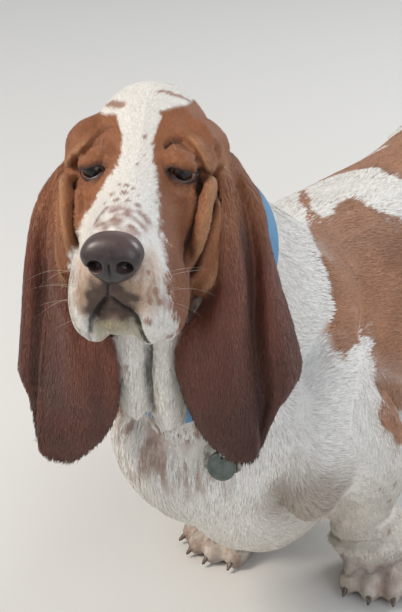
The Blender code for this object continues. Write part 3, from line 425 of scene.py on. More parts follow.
# The body's brown patches, drawn on the trunk's side unrolled: metres back along the trunk, and
# metres round it from the top of the back, towards its left above 0 and its right below.
ROUND_AXIS_Z = 0.25
ROUND_RADIUS = 0.126
LEFT_SHOULDER = (
    (-0.105, -0.05), (-0.15, -0.028), (-0.167, -0.017), (-0.193, 0.001), (-0.234, 0.026),
    (-0.24, 0.04), (-0.241, 0.053), (-0.248, 0.07), (-0.254, 0.088), (-0.266, 0.103),
    (-0.279, 0.122), (-0.277, 0.146), (-0.264, 0.139), (-0.253, 0.14), (-0.242, 0.146),
    (-0.204, 0.155), (-0.196, 0.165), (-0.205, 0.195), (-0.208, 0.222), (-0.22, 0.231),
    (-0.24, 0.233), (-0.236, 0.243), (-0.222, 0.252), (-0.215, 0.266), (-0.19, 0.284),
    (-0.13, 0.262), (-0.06, 0.236), (0.01, 0.232), (0.07, 0.2), (0.125, 0.15), (0.11, 0.1),
    (0.05, 0.09), (0.0, 0.078), (-0.079, 0.062), (-0.093, 0.045), (-0.102, 0.037), (-0.11, 0.024),
    (-0.111, 0.012), (-0.124, 0.004), (-0.146, 0.002), (-0.152, 0.007), (-0.172, 0.009),
    (-0.17, -0.004), (-0.149, -0.02),
)
SADDLE = (
    (-0.11, -0.066), (-0.052, -0.048), (-0.037, -0.034), (-0.016, -0.012), (-0.027, 0.008),
    (-0.025, 0.03), (0.01, 0.052), (0.06, 0.066), (0.12, 0.074), (0.16, 0.11), (0.215, 0.128),
    (0.262, 0.1), (0.285, 0.05), (0.278, -0.01), (0.24, -0.06), (0.18, -0.1), (0.11, -0.092),
    (0.06, -0.06), (0.08, -0.042), (0.04, -0.046), (-0.02, -0.062), (-0.08, -0.074),
)
RIGHT_SHOULDER = (
    (-0.395, -0.165), (-0.33, -0.135), (-0.262, -0.098), (-0.205, -0.072), (-0.12, -0.088),
    (-0.05, -0.11), (0.02, -0.118), (0.062, -0.15), (0.04, -0.205), (-0.03, -0.238),
    (-0.1, -0.262), (-0.168, -0.25), (-0.205, -0.205), (-0.25, -0.178), (-0.31, -0.19),
    (-0.372, -0.215),
)
RUMP_LEFT = (
    (0.335, 0.02), (0.3, 0.095), (0.262, 0.17), (0.222, 0.23), (0.25, 0.262), (0.3, 0.235),
    (0.345, 0.165), (0.392, 0.09), (0.4, 0.02),
)
RUMP_RIGHT = (
    (0.33, -0.01), (0.262, -0.085), (0.215, -0.16), (0.232, -0.225), (0.285, -0.258),
    (0.335, -0.205), (0.385, -0.12), (0.4, -0.02),
)
PATCH_OUTLINES = (LEFT_SHOULDER, SADDLE, RIGHT_SHOULDER, RUMP_LEFT, RUMP_RIGHT)

# The colours of the coat, from the lit side of each kind of hair, apart from the ears' darker colour and the
# armpits', which stand for painted shade (the armpits' with brown staining).
COAT_HEX = {
    "white": "#E6E3DD",
    "white_low": "#D3C9BA",
    "brown": "#B47F5A",
    "brown_dark": "#6A402C",
    "ear": "#7B432F",
    # The ear's colour in shade, used for painted shade.
    "ear_dark": "#4B281D",
    "cheek": "#9A5F38",
    "tan": "#BD9268",
    "tick": "#8C5A48",
    "lip": "#4A3327",
    "stain": "#8F6A58",
    "rosy": "#A27F6E",
    # Brown staining with painted shade, for the armpits.
    "armpit_shade_and_stain": "#85705B",
    "chin": "#A9A084",
    "lid": "#35211C",
    "grizzle": "#8D745D",
    # Dark lip skin with the painted shade of the mouth's line.
    "mouth": "#251714",
}
COAT = {name: np.array(linear(code)[:3]) for name, code in COAT_HEX.items()}

# Where the skin behind the elbows and in the armpits is thin of hair and painted darker, on the left side:
# partly brown staining, partly painted shade.
ARMPIT = (0.068, -0.316, 0.164)
# How softly the body's patches end, and how far and at what scale their edges wander.
EDGE_SOFT = 1.6 * MM
EDGE_WANDER = (0.030, 5.0 * MM), (0.009, 2.4 * MM)
# How softly the brown of the face ends at the blaze, in degrees, and at the crown and nape.
BLAZE_SOFT = 1.5
CROWN_SOFT = 0.0012
NAPE_SOFT = 0.003
# Noise squeezed in height by these shares draws upright hairs, streaks and tear marks.
HAIRS = np.array([1, 1, 0.4])
SPECKS = np.array([1, 1, 0.30])
STREAKS = np.array([1, 1, 0.15])
# The dark patch of the lips under the nose: its middle's x and z in the skull's frame, and its reach.
LIP_X = -0.004
LIP_Z = -0.068
LIP_R = 0.021
# How dark the painted shade is at the bottom of a crease, and how deep that is.
CREASE_PAINTED_SHADE = 0.72
CREASE_DEEP = -4.2 * MM


def unrolled(points):
    """Points of the trunk laid flat: back along it, and round it from the top of the back."""
    angle = np.arctan2(points[:, 0], points[:, 2] - ROUND_AXIS_Z)
    return np.stack([points[:, 1], angle * ROUND_RADIUS], axis=1)


def spots(points, size, share, seed):
    """Small round marks scattered by noise: where the noise passes a level that leaves that share."""
    noise = lattice_noise(points, size, seed) + 0.5 * lattice_noise(points, size * 0.5, seed + 3)
    return ramp(share, share + 0.18, noise)


def face_brown(points):
    """The share of brown on the head: outside the blaze's edges, below the crown, before the nape."""
    x, y, z = to_head(points).T
    wander = lattice_noise(points, 0.012, 5) * 1.3 + lattice_noise(points, 0.0045, 6) * 0.8
    angle = np.degrees(np.arctan2(x, BLAZE_AXIS_Y - y)) + wander
    height = z + lattice_noise(points, 0.010, 7) * 0.0015
    left = np.interp(z, *np.array(BLAZE_LEFT).T)
    right = np.interp(z, *np.array(BLAZE_RIGHT).T)
    outside = np.where(x > 0, angle - left, -angle - right)
    crown = np.where(x > 0, CROWN_Z[1], CROWN_Z[-1])
    back = CROWN_BACK + lattice_noise(points, 0.03, 8) * 0.012 + lattice_noise(points, 0.008, 10) * 0.004
    hairs = 1.6 * lattice_noise(points * HAIRS, 0.002, 9)
    shares = ramp(-BLAZE_SOFT, BLAZE_SOFT, outside + hairs)
    shares = shares * ramp(CROWN_SOFT, -CROWN_SOFT, height - crown)
    shares = shares * ramp(NAPE_SOFT, -NAPE_SOFT, y - back)
    dash, along = path_distance(to_head(points), CROWN_DASH)
    dash = 0.8 * ramp(0.0042, 0.0012, dash / (0.4 + 0.6 * np.sin(np.pi * np.clip(along, 0.03, 0.97))))
    brow, _ = path_distance(to_head(points), BROW_MARK)
    return np.maximum.reduce([shares, dash, 0.8 * ramp(0.0055, 0.0018, brow)])


def body_brown(points):
    """The share of brown on the trunk: inside any patch, with edges that wander."""
    flat = unrolled(points)
    wander = sum(lattice_noise(points, size, 11) * height for size, height in EDGE_WANDER)
    depth = np.max([patch_depth(flat, outline) for outline in PATCH_OUTLINES], axis=0) + wander
    return ramp(-EDGE_SOFT, EDGE_SOFT, depth)


def markings(points, parts, relief):
    """The coat's colour at each point. parts holds how far each point belongs to the ears, head,
    neck, trunk, legs and tail, from 0 to 1, and relief how far a fold lifts it or a crease presses it
    in. Skin and hair both take their colours from here."""
    x, y, z = to_head(points).T
    height = points[:, 2]
    reach_down = between(-0.075, -0.125, ramp(0.030, 0.040, np.abs(x)))
    behind = parts["neck"] * ramp(0.095, 0.075, y) * ramp(-0.012, 0.012, z - reach_down)
    behind = behind * (np.abs(x) < 0.09)
    head = np.clip((parts["head"] + behind) / np.maximum(1 - parts["ears"], 0.05), 0, 1)

    # White hair is mixed towards a greyer, warmer white low down and towards the throat.
    low = ramp(0.22, 0.06, height)
    throat = 0.25 * parts["neck"] * ramp(-0.2, -0.4, points[:, 1])
    white = mix(COAT["white"], COAT["white_low"], 0.75 * low + throat)
    shade = lattice_noise(points, 0.055, 21) * 0.5 + lattice_noise(points, 0.016, 22) * 0.3
    brown = mix(COAT["brown"], COAT["brown_dark"], np.clip(0.38 + 0.55 * shade, 0, 1))
    cheek = mix(COAT["cheek"], COAT["brown_dark"], np.clip(0.25 + 0.5 * shade, 0, 0.9))

    # The patches of the trunk, which run on over the tops of the legs, and the face's two sides.
    face = face_brown(points)
    trunk = body_brown(points)
    colour = mix(white, brown, trunk * parts["torso"])
    leg_patch = trunk * parts["legs"] * ramp(0.13, 0.17, height)
    colour = mix(colour, brown, leg_patch)
    colour = mix(colour, mix(white, cheek, face), head)

    # The muzzle is mottled on top, and ticked on its sides and down the blaze.
    muzzle = ramp(-0.054, -0.066, y) * ramp(-0.028, -0.020, z) * head
    mottle = np.clip(0.5 + lattice_noise(points, 0.005, 31) * 0.9, 0, 1)
    colour = mix(colour, COAT["tick"], 0.78 * muzzle * mottle)
    fine = lattice_noise(points * SPECKS, 0.0035, 33) + 0.6 * lattice_noise(points, 0.012, 34)
    flank = ramp(0.012, 0.020, np.abs(x)) * ramp(-0.050, -0.062, y) * ramp(-0.025, -0.038, z) * (1 - face)
    colour = mix(colour, COAT["tick"], 0.62 * flank * ramp(0.25, 0.95, fine) * head)
    for tick_x, tick_y, tick_z, reach in FACE_TICKS:
        gap = np.sqrt((x - tick_x) ** 2 + (y - tick_y) ** 2 + (z - tick_z) ** 2)
        colour = mix(colour, COAT["tick"], 0.75 * head * ramp(reach * 1.25, reach * 0.55, gap))

    # The lips: dark under the nose with a grizzled border, tan beside it, and a pale chin whose greyish green
    # is partly painted light, the tint of the light under the muzzle.
    around_lip = ((x - LIP_X) / LIP_R) ** 2 + ((z - LIP_Z) / LIP_R) ** 2
    around_lip = around_lip + 0.35 * lattice_noise(points, 0.006, 32)
    lip = ramp(1.15, 0.55, around_lip) * ramp(-0.070, -0.085, y) * ramp(-0.044, -0.052, z)
    colour = mix(colour, COAT["grizzle"], 0.7 * head * ramp(1.9, 0.8, around_lip) * ramp(-0.070, -0.085, y))
    colour = mix(colour, COAT["lip"], 0.92 * lip * head)
    beside = ramp(0.036, 0.024, np.abs(x)) * ramp(-0.074, -0.088, y) * ramp(-0.026, -0.040, z) * (1 - lip)
    beside = beside * ramp(-0.085, -0.070, z)
    colour = mix(colour, COAT["tan"], 0.5 * beside * head)
    # The chin's greyish green is partly the pale hair's colour and partly painted light.
    chin = ramp(0.020, 0.014, np.abs(x)) * ramp(-0.0835, -0.0865, z) * ramp(-0.060, -0.075, y)
    colour = mix(colour, COAT["chin"], 0.75 * chin * head)
    # Dark lip skin along the mouth and the groove under the nose, with the painted shade of the mouth's line.
    for line, width, _ in MOUTH_LINES:
        gap, _ = path_distance(np.stack([x, y, z], axis=1), line)
        colour = mix(colour, COAT["mouth"], 0.9 * head * ramp(1.35 * width, 0.5 * width, gap))

    # Ticks on the neck and legs, stained feet, rosy streaks on the chest, and armpits darkened by brown
    # staining and painted shade.
    ticked = spots(points, 0.006, 0.78, 41)
    ticked = ticked * np.clip(parts["neck"] * ramp(-0.40, -0.43, points[:, 1]), 0, 1)
    colour = mix(colour, COAT["tick"], 0.8 * ticked)
    legs = parts["legs"] * ramp(0.22, 0.16, height)
    colour = mix(colour, COAT["tick"], 0.55 * spots(points, 0.009, 0.92, 43) * legs)
    feet = ramp(0.045, 0.020, height) * parts["legs"]
    stained = np.clip(0.45 + 0.5 * lattice_noise(points, 0.012, 44), 0, 0.8)
    colour = mix(colour, COAT["stain"], feet * stained)
    chest = ramp(-0.36, -0.385, points[:, 1]) * parts["torso"] * ramp(0.30, 0.26, height)
    streaks = ramp(0.0, 0.5, lattice_noise(points * STREAKS, 0.005, 45))
    colour = mix(colour, COAT["rosy"], 0.8 * chest * streaks * ramp(0.17, 0.21, height))
    # The armpits take painted shade mixed with brown staining.
    for side in (1, -1):
        gap = np.linalg.norm(points - np.array(ARMPIT) * np.array([side, 1, 1]), axis=1)
        gap = gap + 0.010 * lattice_noise(points, 0.02, 47)
        colour = mix(colour, COAT["armpit_shade_and_stain"], 0.66 * ramp(0.058, 0.018, gap))
    tail = parts["tail"] * ramp(0.50, 0.47, points[:, 1] + 0.006 * lattice_noise(points, 0.01, 46))
    colour = mix(colour, brown, tail)

    # The ears are mixed towards the ear's colour in shade, a painted shade, in random patches and more
    # towards their tips, and carry a painted shadow behind the edge of the front lobe.
    darker = np.clip(0.35 + 0.5 * shade + 0.5 * ramp(0.38, 0.27, height), 0, 1)
    ear = mix(COAT["ear"], COAT["ear_dark"], darker)
    ear = mix(ear, COAT["cheek"], 0.75 * ramp(0.40, 0.46, height))
    for side in EAR_STEPS:
        # A painted shadow that the front lobe casts on the back one.
        past, fade = past_step(points, side)
        shadow = fade * (x * side > 0) * ramp(-0.5 * MM, 2 * MM, past) * ramp(LOBE_REACH, 3 * MM, past)
        ear = mix(ear, COAT["ear_dark"] * 0.55, 0.65 * shadow)
    colour = mix(colour, ear, parts["ears"])

    # Fold ridges on the face are painted paler tan, a painted highlight, and creases everywhere are darkened,
    # a painted shade; the skin next to the eyes is bare and dark.
    fold = ramp(1.5 * MM, 5 * MM, relief) * face * head
    colour = mix(colour, COAT["tan"], 0.42 * fold)
    colour = colour * (1 - CREASE_PAINTED_SHADE * ramp(-0.8 * MM, CREASE_DEEP, relief))[:, None]
    for side, centre in EYE_CENTRES.items():
        local = to_head(points) - to_head(centre[None])
        gap = outside_opening(local[:, 0] * side, local[:, 2])
        near = ramp(4.2 * MM, 0.8 * MM, gap) * (np.linalg.norm(local, axis=1) < 0.02)
        near = near * (local[:, 1] < 0.004)
        colour = mix(colour, COAT["lid"], 0.80 * near)
    return colour


def lie_of_coat(points, normals, parts):
    """The direction of the hair at each point, along the skin: back along the trunk, down the chest,
    neck, ears and legs, back from the nose over the skull, and out along the tail."""
    x, y, z = to_head(points).T
    side = np.sign(x)[:, None]
    one_way = np.ones_like(points)
    down = np.array([0.0, 0.0, -1.0])
    chest = ramp(-0.30, -0.36, points[:, 1])
    throat = ramp(-0.36, -0.42, points[:, 1])
    flew = ramp(-0.035, -0.055, z)
    over_skull = np.array([0.0, 1.0, 0.12]) + side * np.array([0.35, 0, 0])
    skull = mix(over_skull, np.array([0.0, 0.25, -1.0]) * one_way, flew)
    foot = ramp(0.05, 0.03, points[:, 2])
    flows = {
        "torso": mix(np.array([0.0, 1.0, -0.35]) * one_way, np.array([0.0, 0.1, -1.0]), chest),
        "neck": mix(np.array([0.0, 0.6, -0.8]) * one_way, down, throat),
        "head": skull @ HEAD_AXES.T,
        "legs": mix(down * one_way, np.array([0.0, -0.9, -0.35]), foot),
        "tail": np.array([0.0, 0.78, 0.62]) * one_way,
        "ears": down * one_way,
    }
    flow = sum(parts[name][:, None] * unit(flows[name]) for name in flows)
    for centre in EYE_CENTRES.values():
        away = points - centre
        gap = np.linalg.norm(away, axis=1)
        flow = flow + 2.0 * unit(away) * (parts["head"] * ramp(0.024, 0.012, gap))[:, None]
    swirl = np.stack([lattice_noise(points, 0.05, seed) for seed in (51, 52, 53)], axis=1)
    flow = flow + 0.18 * swirl
    flow = flow - np.sum(flow * normals, axis=1, keepdims=True) * normals
    return unit(flow)


PART_GROUPS = {
    "ears": ("ear_left", "ear_right"),
    "head": ("head",) + EYES,
    "neck": ("neck",),
    "torso": ("torso",),
    "legs": ("foreleg_left", "foreleg_right", "hindleg_left", "hindleg_right"),
    "tail": ("tail",),
}
# Each part's place among the red, green and blue of the two colour sets that carry it.
PART_SETS = {"parts_a": ("ears", "head", "neck"), "parts_b": ("torso", "legs", "tail")}

# How far the skin lies under the solids' surface, by part: the depth of the coat there.
COAT_DEPTH = {
    "ears": 0.6 * MM,
    "head": 0.6 * MM,
    "neck": 1.4 * MM,
    "torso": 2.0 * MM,
    "legs": 1.0 * MM,
    "tail": 1.2 * MM,
}


def parts_of(mesh):
    """How far each point belongs to each part, as a dictionary of arrays."""
    return {name: read_numbers(mesh, "part_" + name) for name in COAT_DEPTH}


def flesh_source(swell):
    """All the flesh in one mesh, each node a little fatter so that neighbours overlap, with the
    parts stored as two sets of colours."""
    points, triangles, owners = [], [], []
    count = 0
    for node in FLESH + EYES:
        p, t = node_arrays(node)
        points.append(p + swell * point_normals(p, t))
        triangles.append(t + count)
        owners += [node] * len(p)
        count += len(p)
    mesh = make_mesh("flesh", np.vstack(points), np.vstack(triangles))
    owners = np.array(owners)
    for name, group in PART_SETS.items():
        shares = np.stack([np.isin(owners, PART_GROUPS[part]) for part in group], axis=1)
        colour_attribute(mesh, name, shares.astype(float))
    source = bpy.data.objects.new("flesh", mesh)
    bpy.context.scene.collection.objects.link(source)
    return source


def evaluated_mesh(piece):
    """The mesh that a piece's modifiers make."""
    graph = bpy.context.evaluated_depsgraph_get()
    return bpy.data.meshes.new_from_object(piece.evaluated_get(graph), depsgraph=graph)


def remeshed_flesh(voxel):
    """The flesh as one closed skin of even squares, with the parts read from the nearest flesh."""
    source = flesh_source(0.6 * MM)
    remesh = source.modifiers.new("one skin", "REMESH")
    remesh.mode = "VOXEL"
    remesh.voxel_size = voxel
    skin = bpy.data.objects.new("skin_draft", evaluated_mesh(source))
    bpy.context.scene.collection.objects.link(skin)
    source.modifiers.clear()
    for name in PART_SETS:
        colour_attribute(skin.data, name, np.zeros((len(skin.data.vertices), 3)))
    transfer = skin.modifiers.new("parts", "DATA_TRANSFER")
    transfer.object = source
    transfer.use_vert_data = True
    transfer.data_types_verts = {"COLOR_VERTEX"}
    transfer.vert_mapping = "POLYINTERP_NEAREST"
    transfer.layers_vcol_vert_select_src = "ALL"
    transfer.layers_vcol_vert_select_dst = "NAME"
    mesh = evaluated_mesh(skin)
    shares = {}
    for name, group in PART_SETS.items():
        colours = read_colours(mesh, name)
        shares.update({part: colours[:, i] for i, part in enumerate(group)})
    for piece in (source, skin):
        bpy.data.objects.remove(piece)
    return mesh, shares


def mirrored(ridge):
    """The same ridge or crease on the other side of the face: its path with x turned round."""
    path, width, height = ridge
    return tuple((-x, y, z) for x, y, z in path), width, height


# The loose skin of each side of the face, as paths in the skull's own frame with a width and a
# height in metres: ropes of skin that drape from over the eye down the cheek, and the creases
# between them.
LEFT_FOLDS = (
    (((0.016, 0.011, 0.019), (0.024, 0.02, 0.0235), (0.033, 0.024, 0.0225), (0.043, 0.017, 0.0165),
      (0.05, 0.015, 0.006), (0.0535, 0.013, -0.006), (0.054, 0.003, -0.014), (0.053, -0.008, -0.026),
      (0.0515, -0.015, -0.039), (0.048, -0.019, -0.054), (0.042, -0.024, -0.068)), 4.6 * MM, 5.2 * MM),
    (((0.044, 0.029, 0.029), (0.0545, 0.022, 0.02), (0.059, 0.029, 0.007), (0.061, 0.029, -0.004),
      (0.063, 0.022, -0.0185), (0.063, 0.0165, -0.037), (0.062, 0.011, -0.047),
      (0.06, 0.003, -0.059), (0.055, -0.007, -0.079), (0.047, -0.012, -0.098)), 5.4 * MM, 6.0 * MM),
    (((0.024, 0.002, 0.012), (0.031, 0.003, 0.0145), (0.038, 0.006, 0.013), (0.043, 0.01, 0.0075)),
     3.6 * MM, 2.4 * MM),
    (((0.027, -0.011, -0.022), (0.034, -0.013, -0.032), (0.035, -0.022, -0.047)), 7.5 * MM, 1.2 * MM),
)
LEFT_CREASES = (
    (((0.018, 0.007, 0.0147), (0.021, 0.013, 0.018), (0.025, 0.017, 0.02), (0.031, 0.02, 0.019),
      (0.037, 0.016, 0.0155), (0.0434, 0.0147, 0.01), (0.0464, 0.014, 0.004)), 2.1 * MM, 4.0 * MM),
    (((0.0462, 0.014, 0.0035), (0.0465, 0.013, -0.003), (0.0465, 0.009, -0.011),
      (0.046, -0.005, -0.017), (0.0445, -0.011, -0.0255), (0.043, -0.017, -0.038),
      (0.0406, -0.022, -0.052), (0.04, -0.032, -0.062), (0.04, -0.045, -0.071)), 2.5 * MM, 6.4 * MM),
    (((0.0515, 0.024, 0.021), (0.0585, 0.022, 0.0095), (0.061, 0.022, -0.0044),
      (0.0605, 0.015, -0.014), (0.059, -0.003, -0.026), (0.056, -0.0115, -0.042),
      (0.052, -0.0175, -0.056), (0.045, -0.0215, -0.072), (0.043, -0.032, -0.086)), 2.5 * MM, 6.4 * MM),
    (((0.0285, -0.0105, -0.0115), (0.035, -0.006, -0.015), (0.0415, 0.001, -0.014)),
     1.7 * MM, 1.2 * MM),
)
RIGHT_FOLDS = (
    (((-0.018, 0.02, 0.026), (-0.029, 0.0247, 0.024), (-0.037, 0.019, 0.018),
      (-0.0455, 0.015, 0.011), (-0.053, 0.016, 0.003), (-0.0565, 0.012, -0.01),
      (-0.055, 0.001, -0.0165), (-0.0516, -0.013, -0.0335), (-0.048, -0.02, -0.055),
      (-0.043, -0.024, -0.07)), 4.4 * MM, 5.0 * MM),
    (((-0.044, 0.029, 0.029), (-0.0545, 0.022, 0.02), (-0.059, 0.029, 0.007),
      (-0.061, 0.029, -0.004), (-0.062, 0.022, -0.0185), (-0.0615, 0.0165, -0.037),
      (-0.06, 0.003, -0.059), (-0.055, -0.007, -0.079), (-0.047, -0.012, -0.098)), 5.0 * MM, 5.4 * MM),
    (((-0.024, 0.002, 0.012), (-0.031, 0.003, 0.0145), (-0.038, 0.006, 0.013)), 3.6 * MM, 2.4 * MM),
    mirrored(LEFT_FOLDS[-1]),
)
RIGHT_CREASES = (
    (((-0.0435, 0.015, 0.008), (-0.039, 0.0135, 0.0124), (-0.034, 0.022, 0.02),
      (-0.028, 0.0268, 0.025), (-0.0205, 0.0267, 0.029)), 2.1 * MM, 4.0 * MM),
    (((-0.047, 0.015, 0.01), (-0.049, 0.0156, 0.0), (-0.0486, 0.004, -0.013),
      (-0.0473, -0.0106, -0.024), (-0.047, -0.0167, -0.038), (-0.044, -0.022, -0.052),
      (-0.041, -0.032, -0.062)), 2.5 * MM, 6.2 * MM),
    (((-0.0515, 0.024, 0.021), (-0.0585, 0.022, 0.0095), (-0.0605, 0.015, -0.014),
      (-0.057, -0.003, -0.026), (-0.055, -0.0115, -0.042), (-0.05, -0.0175, -0.06)),
     2.5 * MM, 6.0 * MM),
    mirrored(LEFT_CREASES[-1]),
)
# The groove under the nose and the two halves of the mouth, between the flews and the chin.
MOUTH_LINES = (
    (((-0.004, -0.0985, -0.052), (-0.0053, -0.0972, -0.065)), 1.3 * MM, 1.8 * MM),
    (((-0.0053, -0.0972, -0.065), (-0.01, -0.0911, -0.0736), (-0.015, -0.0885, -0.08),
      (-0.018, -0.091, -0.086), (-0.02, -0.0896, -0.0945), (-0.0215, -0.085, -0.103)),
     2.1 * MM, 4.8 * MM),
    (((-0.005, -0.0973, -0.065), (0.0002, -0.0934, -0.0716), (0.0063, -0.0885, -0.0777),
      (0.0126, -0.0881, -0.083), (0.016, -0.088, -0.092), (0.0205, -0.08, -0.1045)),
     2.1 * MM, 4.8 * MM),
)
# The groove down the dewlap between its two hanging folds, and the folds themselves.
DEWLAP_CREASES = (
    (((0.0095, -0.02, -0.12), (0.009, -0.0165, -0.1355), (0.008, -0.013, -0.153),
      (0.008, -0.006, -0.177), (0.008, 0.009, -0.204)), 3.0 * MM, 6.5 * MM),
)
DEWLAP_FOLDS = (
    (((-0.003, -0.018, -0.128), (-0.004, -0.013, -0.153), (-0.004, -0.005, -0.18),
      (-0.004, 0.008, -0.205)), 6.5 * MM, 3.0 * MM),
    (((0.022, -0.015, -0.13), (0.021, -0.011, -0.153), (0.02, -0.003, -0.18),
      (0.02, 0.01, -0.205)), 8.0 * MM, 4.0 * MM),
)
# The full parts of the lower lip and of both flews.
LIP_SWELLS = (
    (((-0.0105, -0.089, -0.088), (-0.002, -0.09, -0.089), (0.0085, -0.089, -0.088)),
     4.5 * MM, 1.8 * MM),
    (((-0.0285, -0.09, -0.06), (-0.03, -0.088, -0.08), (-0.027, -0.086, -0.096)),
     6.0 * MM, 1.5 * MM),
    (((0.026, -0.09, -0.065), (0.029, -0.086, -0.085), (0.029, -0.074, -0.102)),
     6.5 * MM, 1.8 * MM),
)
FACE_SCULPT = (
    (LEFT_FOLDS, 1),
    (LEFT_CREASES, -1),
    (RIGHT_FOLDS, 1),
    (RIGHT_CREASES, -1),
    (LIP_SWELLS, 1),
    (MOUTH_LINES, -1),
    (DEWLAP_FOLDS, 1),
    (DEWLAP_CREASES, -1),
)

# The opening between the lids, in metres from the eye's middle: half its length, and how far the
# upper lid arches and the lower lid sags.
OPENING_HALF = 10.6 * MM
OPENING_UP = 2.6 * MM
OPENING_DOWN = 6.0 * MM
# How the arch peaks towards the nose, and how far the outer corner droops for each metre out.
OPENING_SKEW = 0.35
OPENING_DROOP = 0.16
# The lids' thickness at their edge and where they are full, how far round the eye's middle they
# reach, and the width of their bare edge.
LID_THICK = 1.4 * MM
LID_FULL = 3.8 * MM
LID_REACH = 15 * MM
LID_BARE = 1.2 * MM
# How far the skin in the opening lies behind the ball, and how sharply it turns at its edge.
BEHIND_BALL = 1.4 * MM
LID_TURN = 0.35 * MM


def opening_edge(turn):
    """The opening's edge at an angle round it: out from the nose, and up. An ellipse whose upper half
    peaks towards the nose and whose lower half sags away from it, with its outer corner lower."""
    out = OPENING_HALF * np.cos(turn)
    upper = OPENING_UP * (1 - OPENING_SKEW * np.cos(turn))
    lower = OPENING_DOWN * (1 + OPENING_SKEW * np.cos(turn))
    high = np.where(np.sin(turn) > 0, upper, lower)
    return out, high * np.sin(turn) - OPENING_DROOP * out


def outside_opening(out, up):
    """Roughly how far a place is outside the opening, below 0 inside it."""
    share = np.clip(out / OPENING_HALF, -1, 1)
    arch = np.sqrt(1 - share**2)
    top = OPENING_UP * (1 - OPENING_SKEW * share) * arch - OPENING_DROOP * out
    bottom = -OPENING_DOWN * (1 + OPENING_SKEW * share) * arch - OPENING_DROOP * out
    return np.maximum.reduce([up - top, bottom - up, np.abs(out) - OPENING_HALF])


def lids_over_eyes(points):
    """The skin round the eyes moved along the skull's own depth: behind the eyeball in the opening, and
    outside it over the ball by the lid's thickness, which grows upwards into the heavy upper lid."""
    placed = to_head(points)
    for side, centre in EYE_CENTRES.items():
        local = placed - to_head(centre[None])
        out, deep, up = local[:, 0] * side, local[:, 1], local[:, 2]
        reach = np.hypot(out, up)
        gap = outside_opening(out, up)
        thick = LID_THICK + (LID_FULL - LID_THICK) * ramp(0, 0.006, np.where(up > 0, gap, 0.4 * gap))
        over = -np.sqrt(np.maximum((EYE_R + thick) ** 2 - reach**2, 0))
        under = -np.sqrt(np.maximum((EYE_R - BEHIND_BALL) ** 2 - reach**2, 0))
        lid = np.where(reach < EYE_R + thick, np.minimum(deep, over), deep)
        lid = between(lid, deep, ramp(0.7 * LID_REACH, LID_REACH, reach))
        target = between(under, lid, ramp(-LID_TURN, LID_TURN, gap))
        near = (reach < LID_REACH) & (deep < 0.3 * EYE_R)
        placed[:, 1] += np.where(near, target - deep, 0)
    return from_head(placed)


# The direction that the ears' outer faces look in, and the one along their width.
EAR_TOWARDS = np.array([0.42, -0.90, 0.0])
EAR_ACROSS = np.array([0.88, 0.47, 0.0])
# The ears' waves: how far apart, where they start, how they slant and how high they stand.
EAR_WAVES = ((0.033, 1.2, 14, 3.6 * MM), (0.021, 0.4, -20, 1.6 * MM))
# The step at the front lobe's edge: how far it fades over, how steep it is, and how far the skin
# before it rises and behind it sinks. Its edge runs from the top down, on each side.
LOBE_REACH = 14 * MM
LOBE_STEP = 1.4 * MM
LOBE_FRONT = 4.5 * MM
LOBE_BACK = 6.0 * MM
EAR_STEPS = {
    1: ((0.0336, -0.3985, 0.4595), (0.0447, -0.4095, 0.4329), (0.051, -0.4114, 0.405),
        (0.0537, -0.408, 0.367), (0.0562, -0.4062, 0.3362), (0.0587, -0.4067, 0.3083),
        (0.0611, -0.4041, 0.2901)),
    -1: ((-0.0831, -0.4702, 0.4217), (-0.0974, -0.4584, 0.3811), (-0.1003, -0.462, 0.3475),
         (-0.1025, -0.4652, 0.3176), (-0.1042, -0.4678, 0.2871)),
}


def past_step(points, side):
    """How far a place on one ear is behind the edge of its front lobe, below 0 in front of it, and how
    far along that edge it is, from 0 at the top to 1."""
    step = np.array(EAR_STEPS[side])
    high_to_low = step[::-1]
    across = (points - step[0]) @ EAR_ACROSS
    edge = np.interp(points[:, 2], high_to_low[:, 2], (high_to_low - step[0]) @ EAR_ACROSS)
    return (across - edge) * side, ramp(step[0][2], step[1][2], points[:, 2])


def ear_drape(points, parts):
    """How far the ears bend towards the viewer's side: long folds that run down from the root and flatten
    towards the tip, and the step where each ear's front lobe lies over its back one."""
    lift = np.zeros(len(points))
    across, high = points @ EAR_ACROSS, points[:, 2]
    for side in EAR_STEPS:
        here = parts["ears"] * (to_head(points)[:, 0] * side > 0)
        for length, start, slant, height in EAR_WAVES:
            wave = np.sin(2 * math.pi * (across / length + start * side) + slant * (high - 0.4))
            lift += here * wave * height * ramp(0.25, 0.42, high)
        past, fade = past_step(points, side)
        front = np.exp(-((np.minimum(past, 0) / LOBE_REACH) ** 2)) * ramp(LOBE_STEP, -LOBE_STEP, past)
        back = np.exp(-((np.maximum(past, 0) / LOBE_REACH) ** 2)) * ramp(-LOBE_STEP, LOBE_STEP, past)
        lift += here * fade * (LOBE_FRONT * front - LOBE_BACK * back)
    return lift[:, None] * EAR_TOWARDS


# How far a gap in depth counts against a path drawn from the front.
DEPTH_COUNTS = 0.55
# The share of its length over which a ridge and a crease fade in at their upper ends.
FOLD_FADES = 0.30
CREASE_FADES = 0.10


def raised(placed, paths, slow):
    """How far ridges lift the skin: each falls off from its path as a bell curve and fades out at
    both ends, over the slow share of its length at its upper one. Depth counts only by a part, so that
    a path drawn from the front holds on skin that bulges or hollows."""
    squeeze = np.array([1, DEPTH_COUNTS, 1])
    lift = np.zeros(len(placed))
    for path, width, height in paths:
        gap, along = path_distance(placed * squeeze, np.array(path) * squeeze)
        lift += height * ramp(0, slow, along) * ramp(1, 0.85, along) * np.exp(-((gap / width) ** 2))
    return lift * ramp(0.060, 0.045, placed[:, 1])


def face_relief(points):
    """The folds, creases and lips of the face together."""
    placed = to_head(points)
    fades = {1: FOLD_FADES, -1: CREASE_FADES}
    return sum(sign * raised(placed, paths, fades[sign]) for paths, sign in FACE_SCULPT)


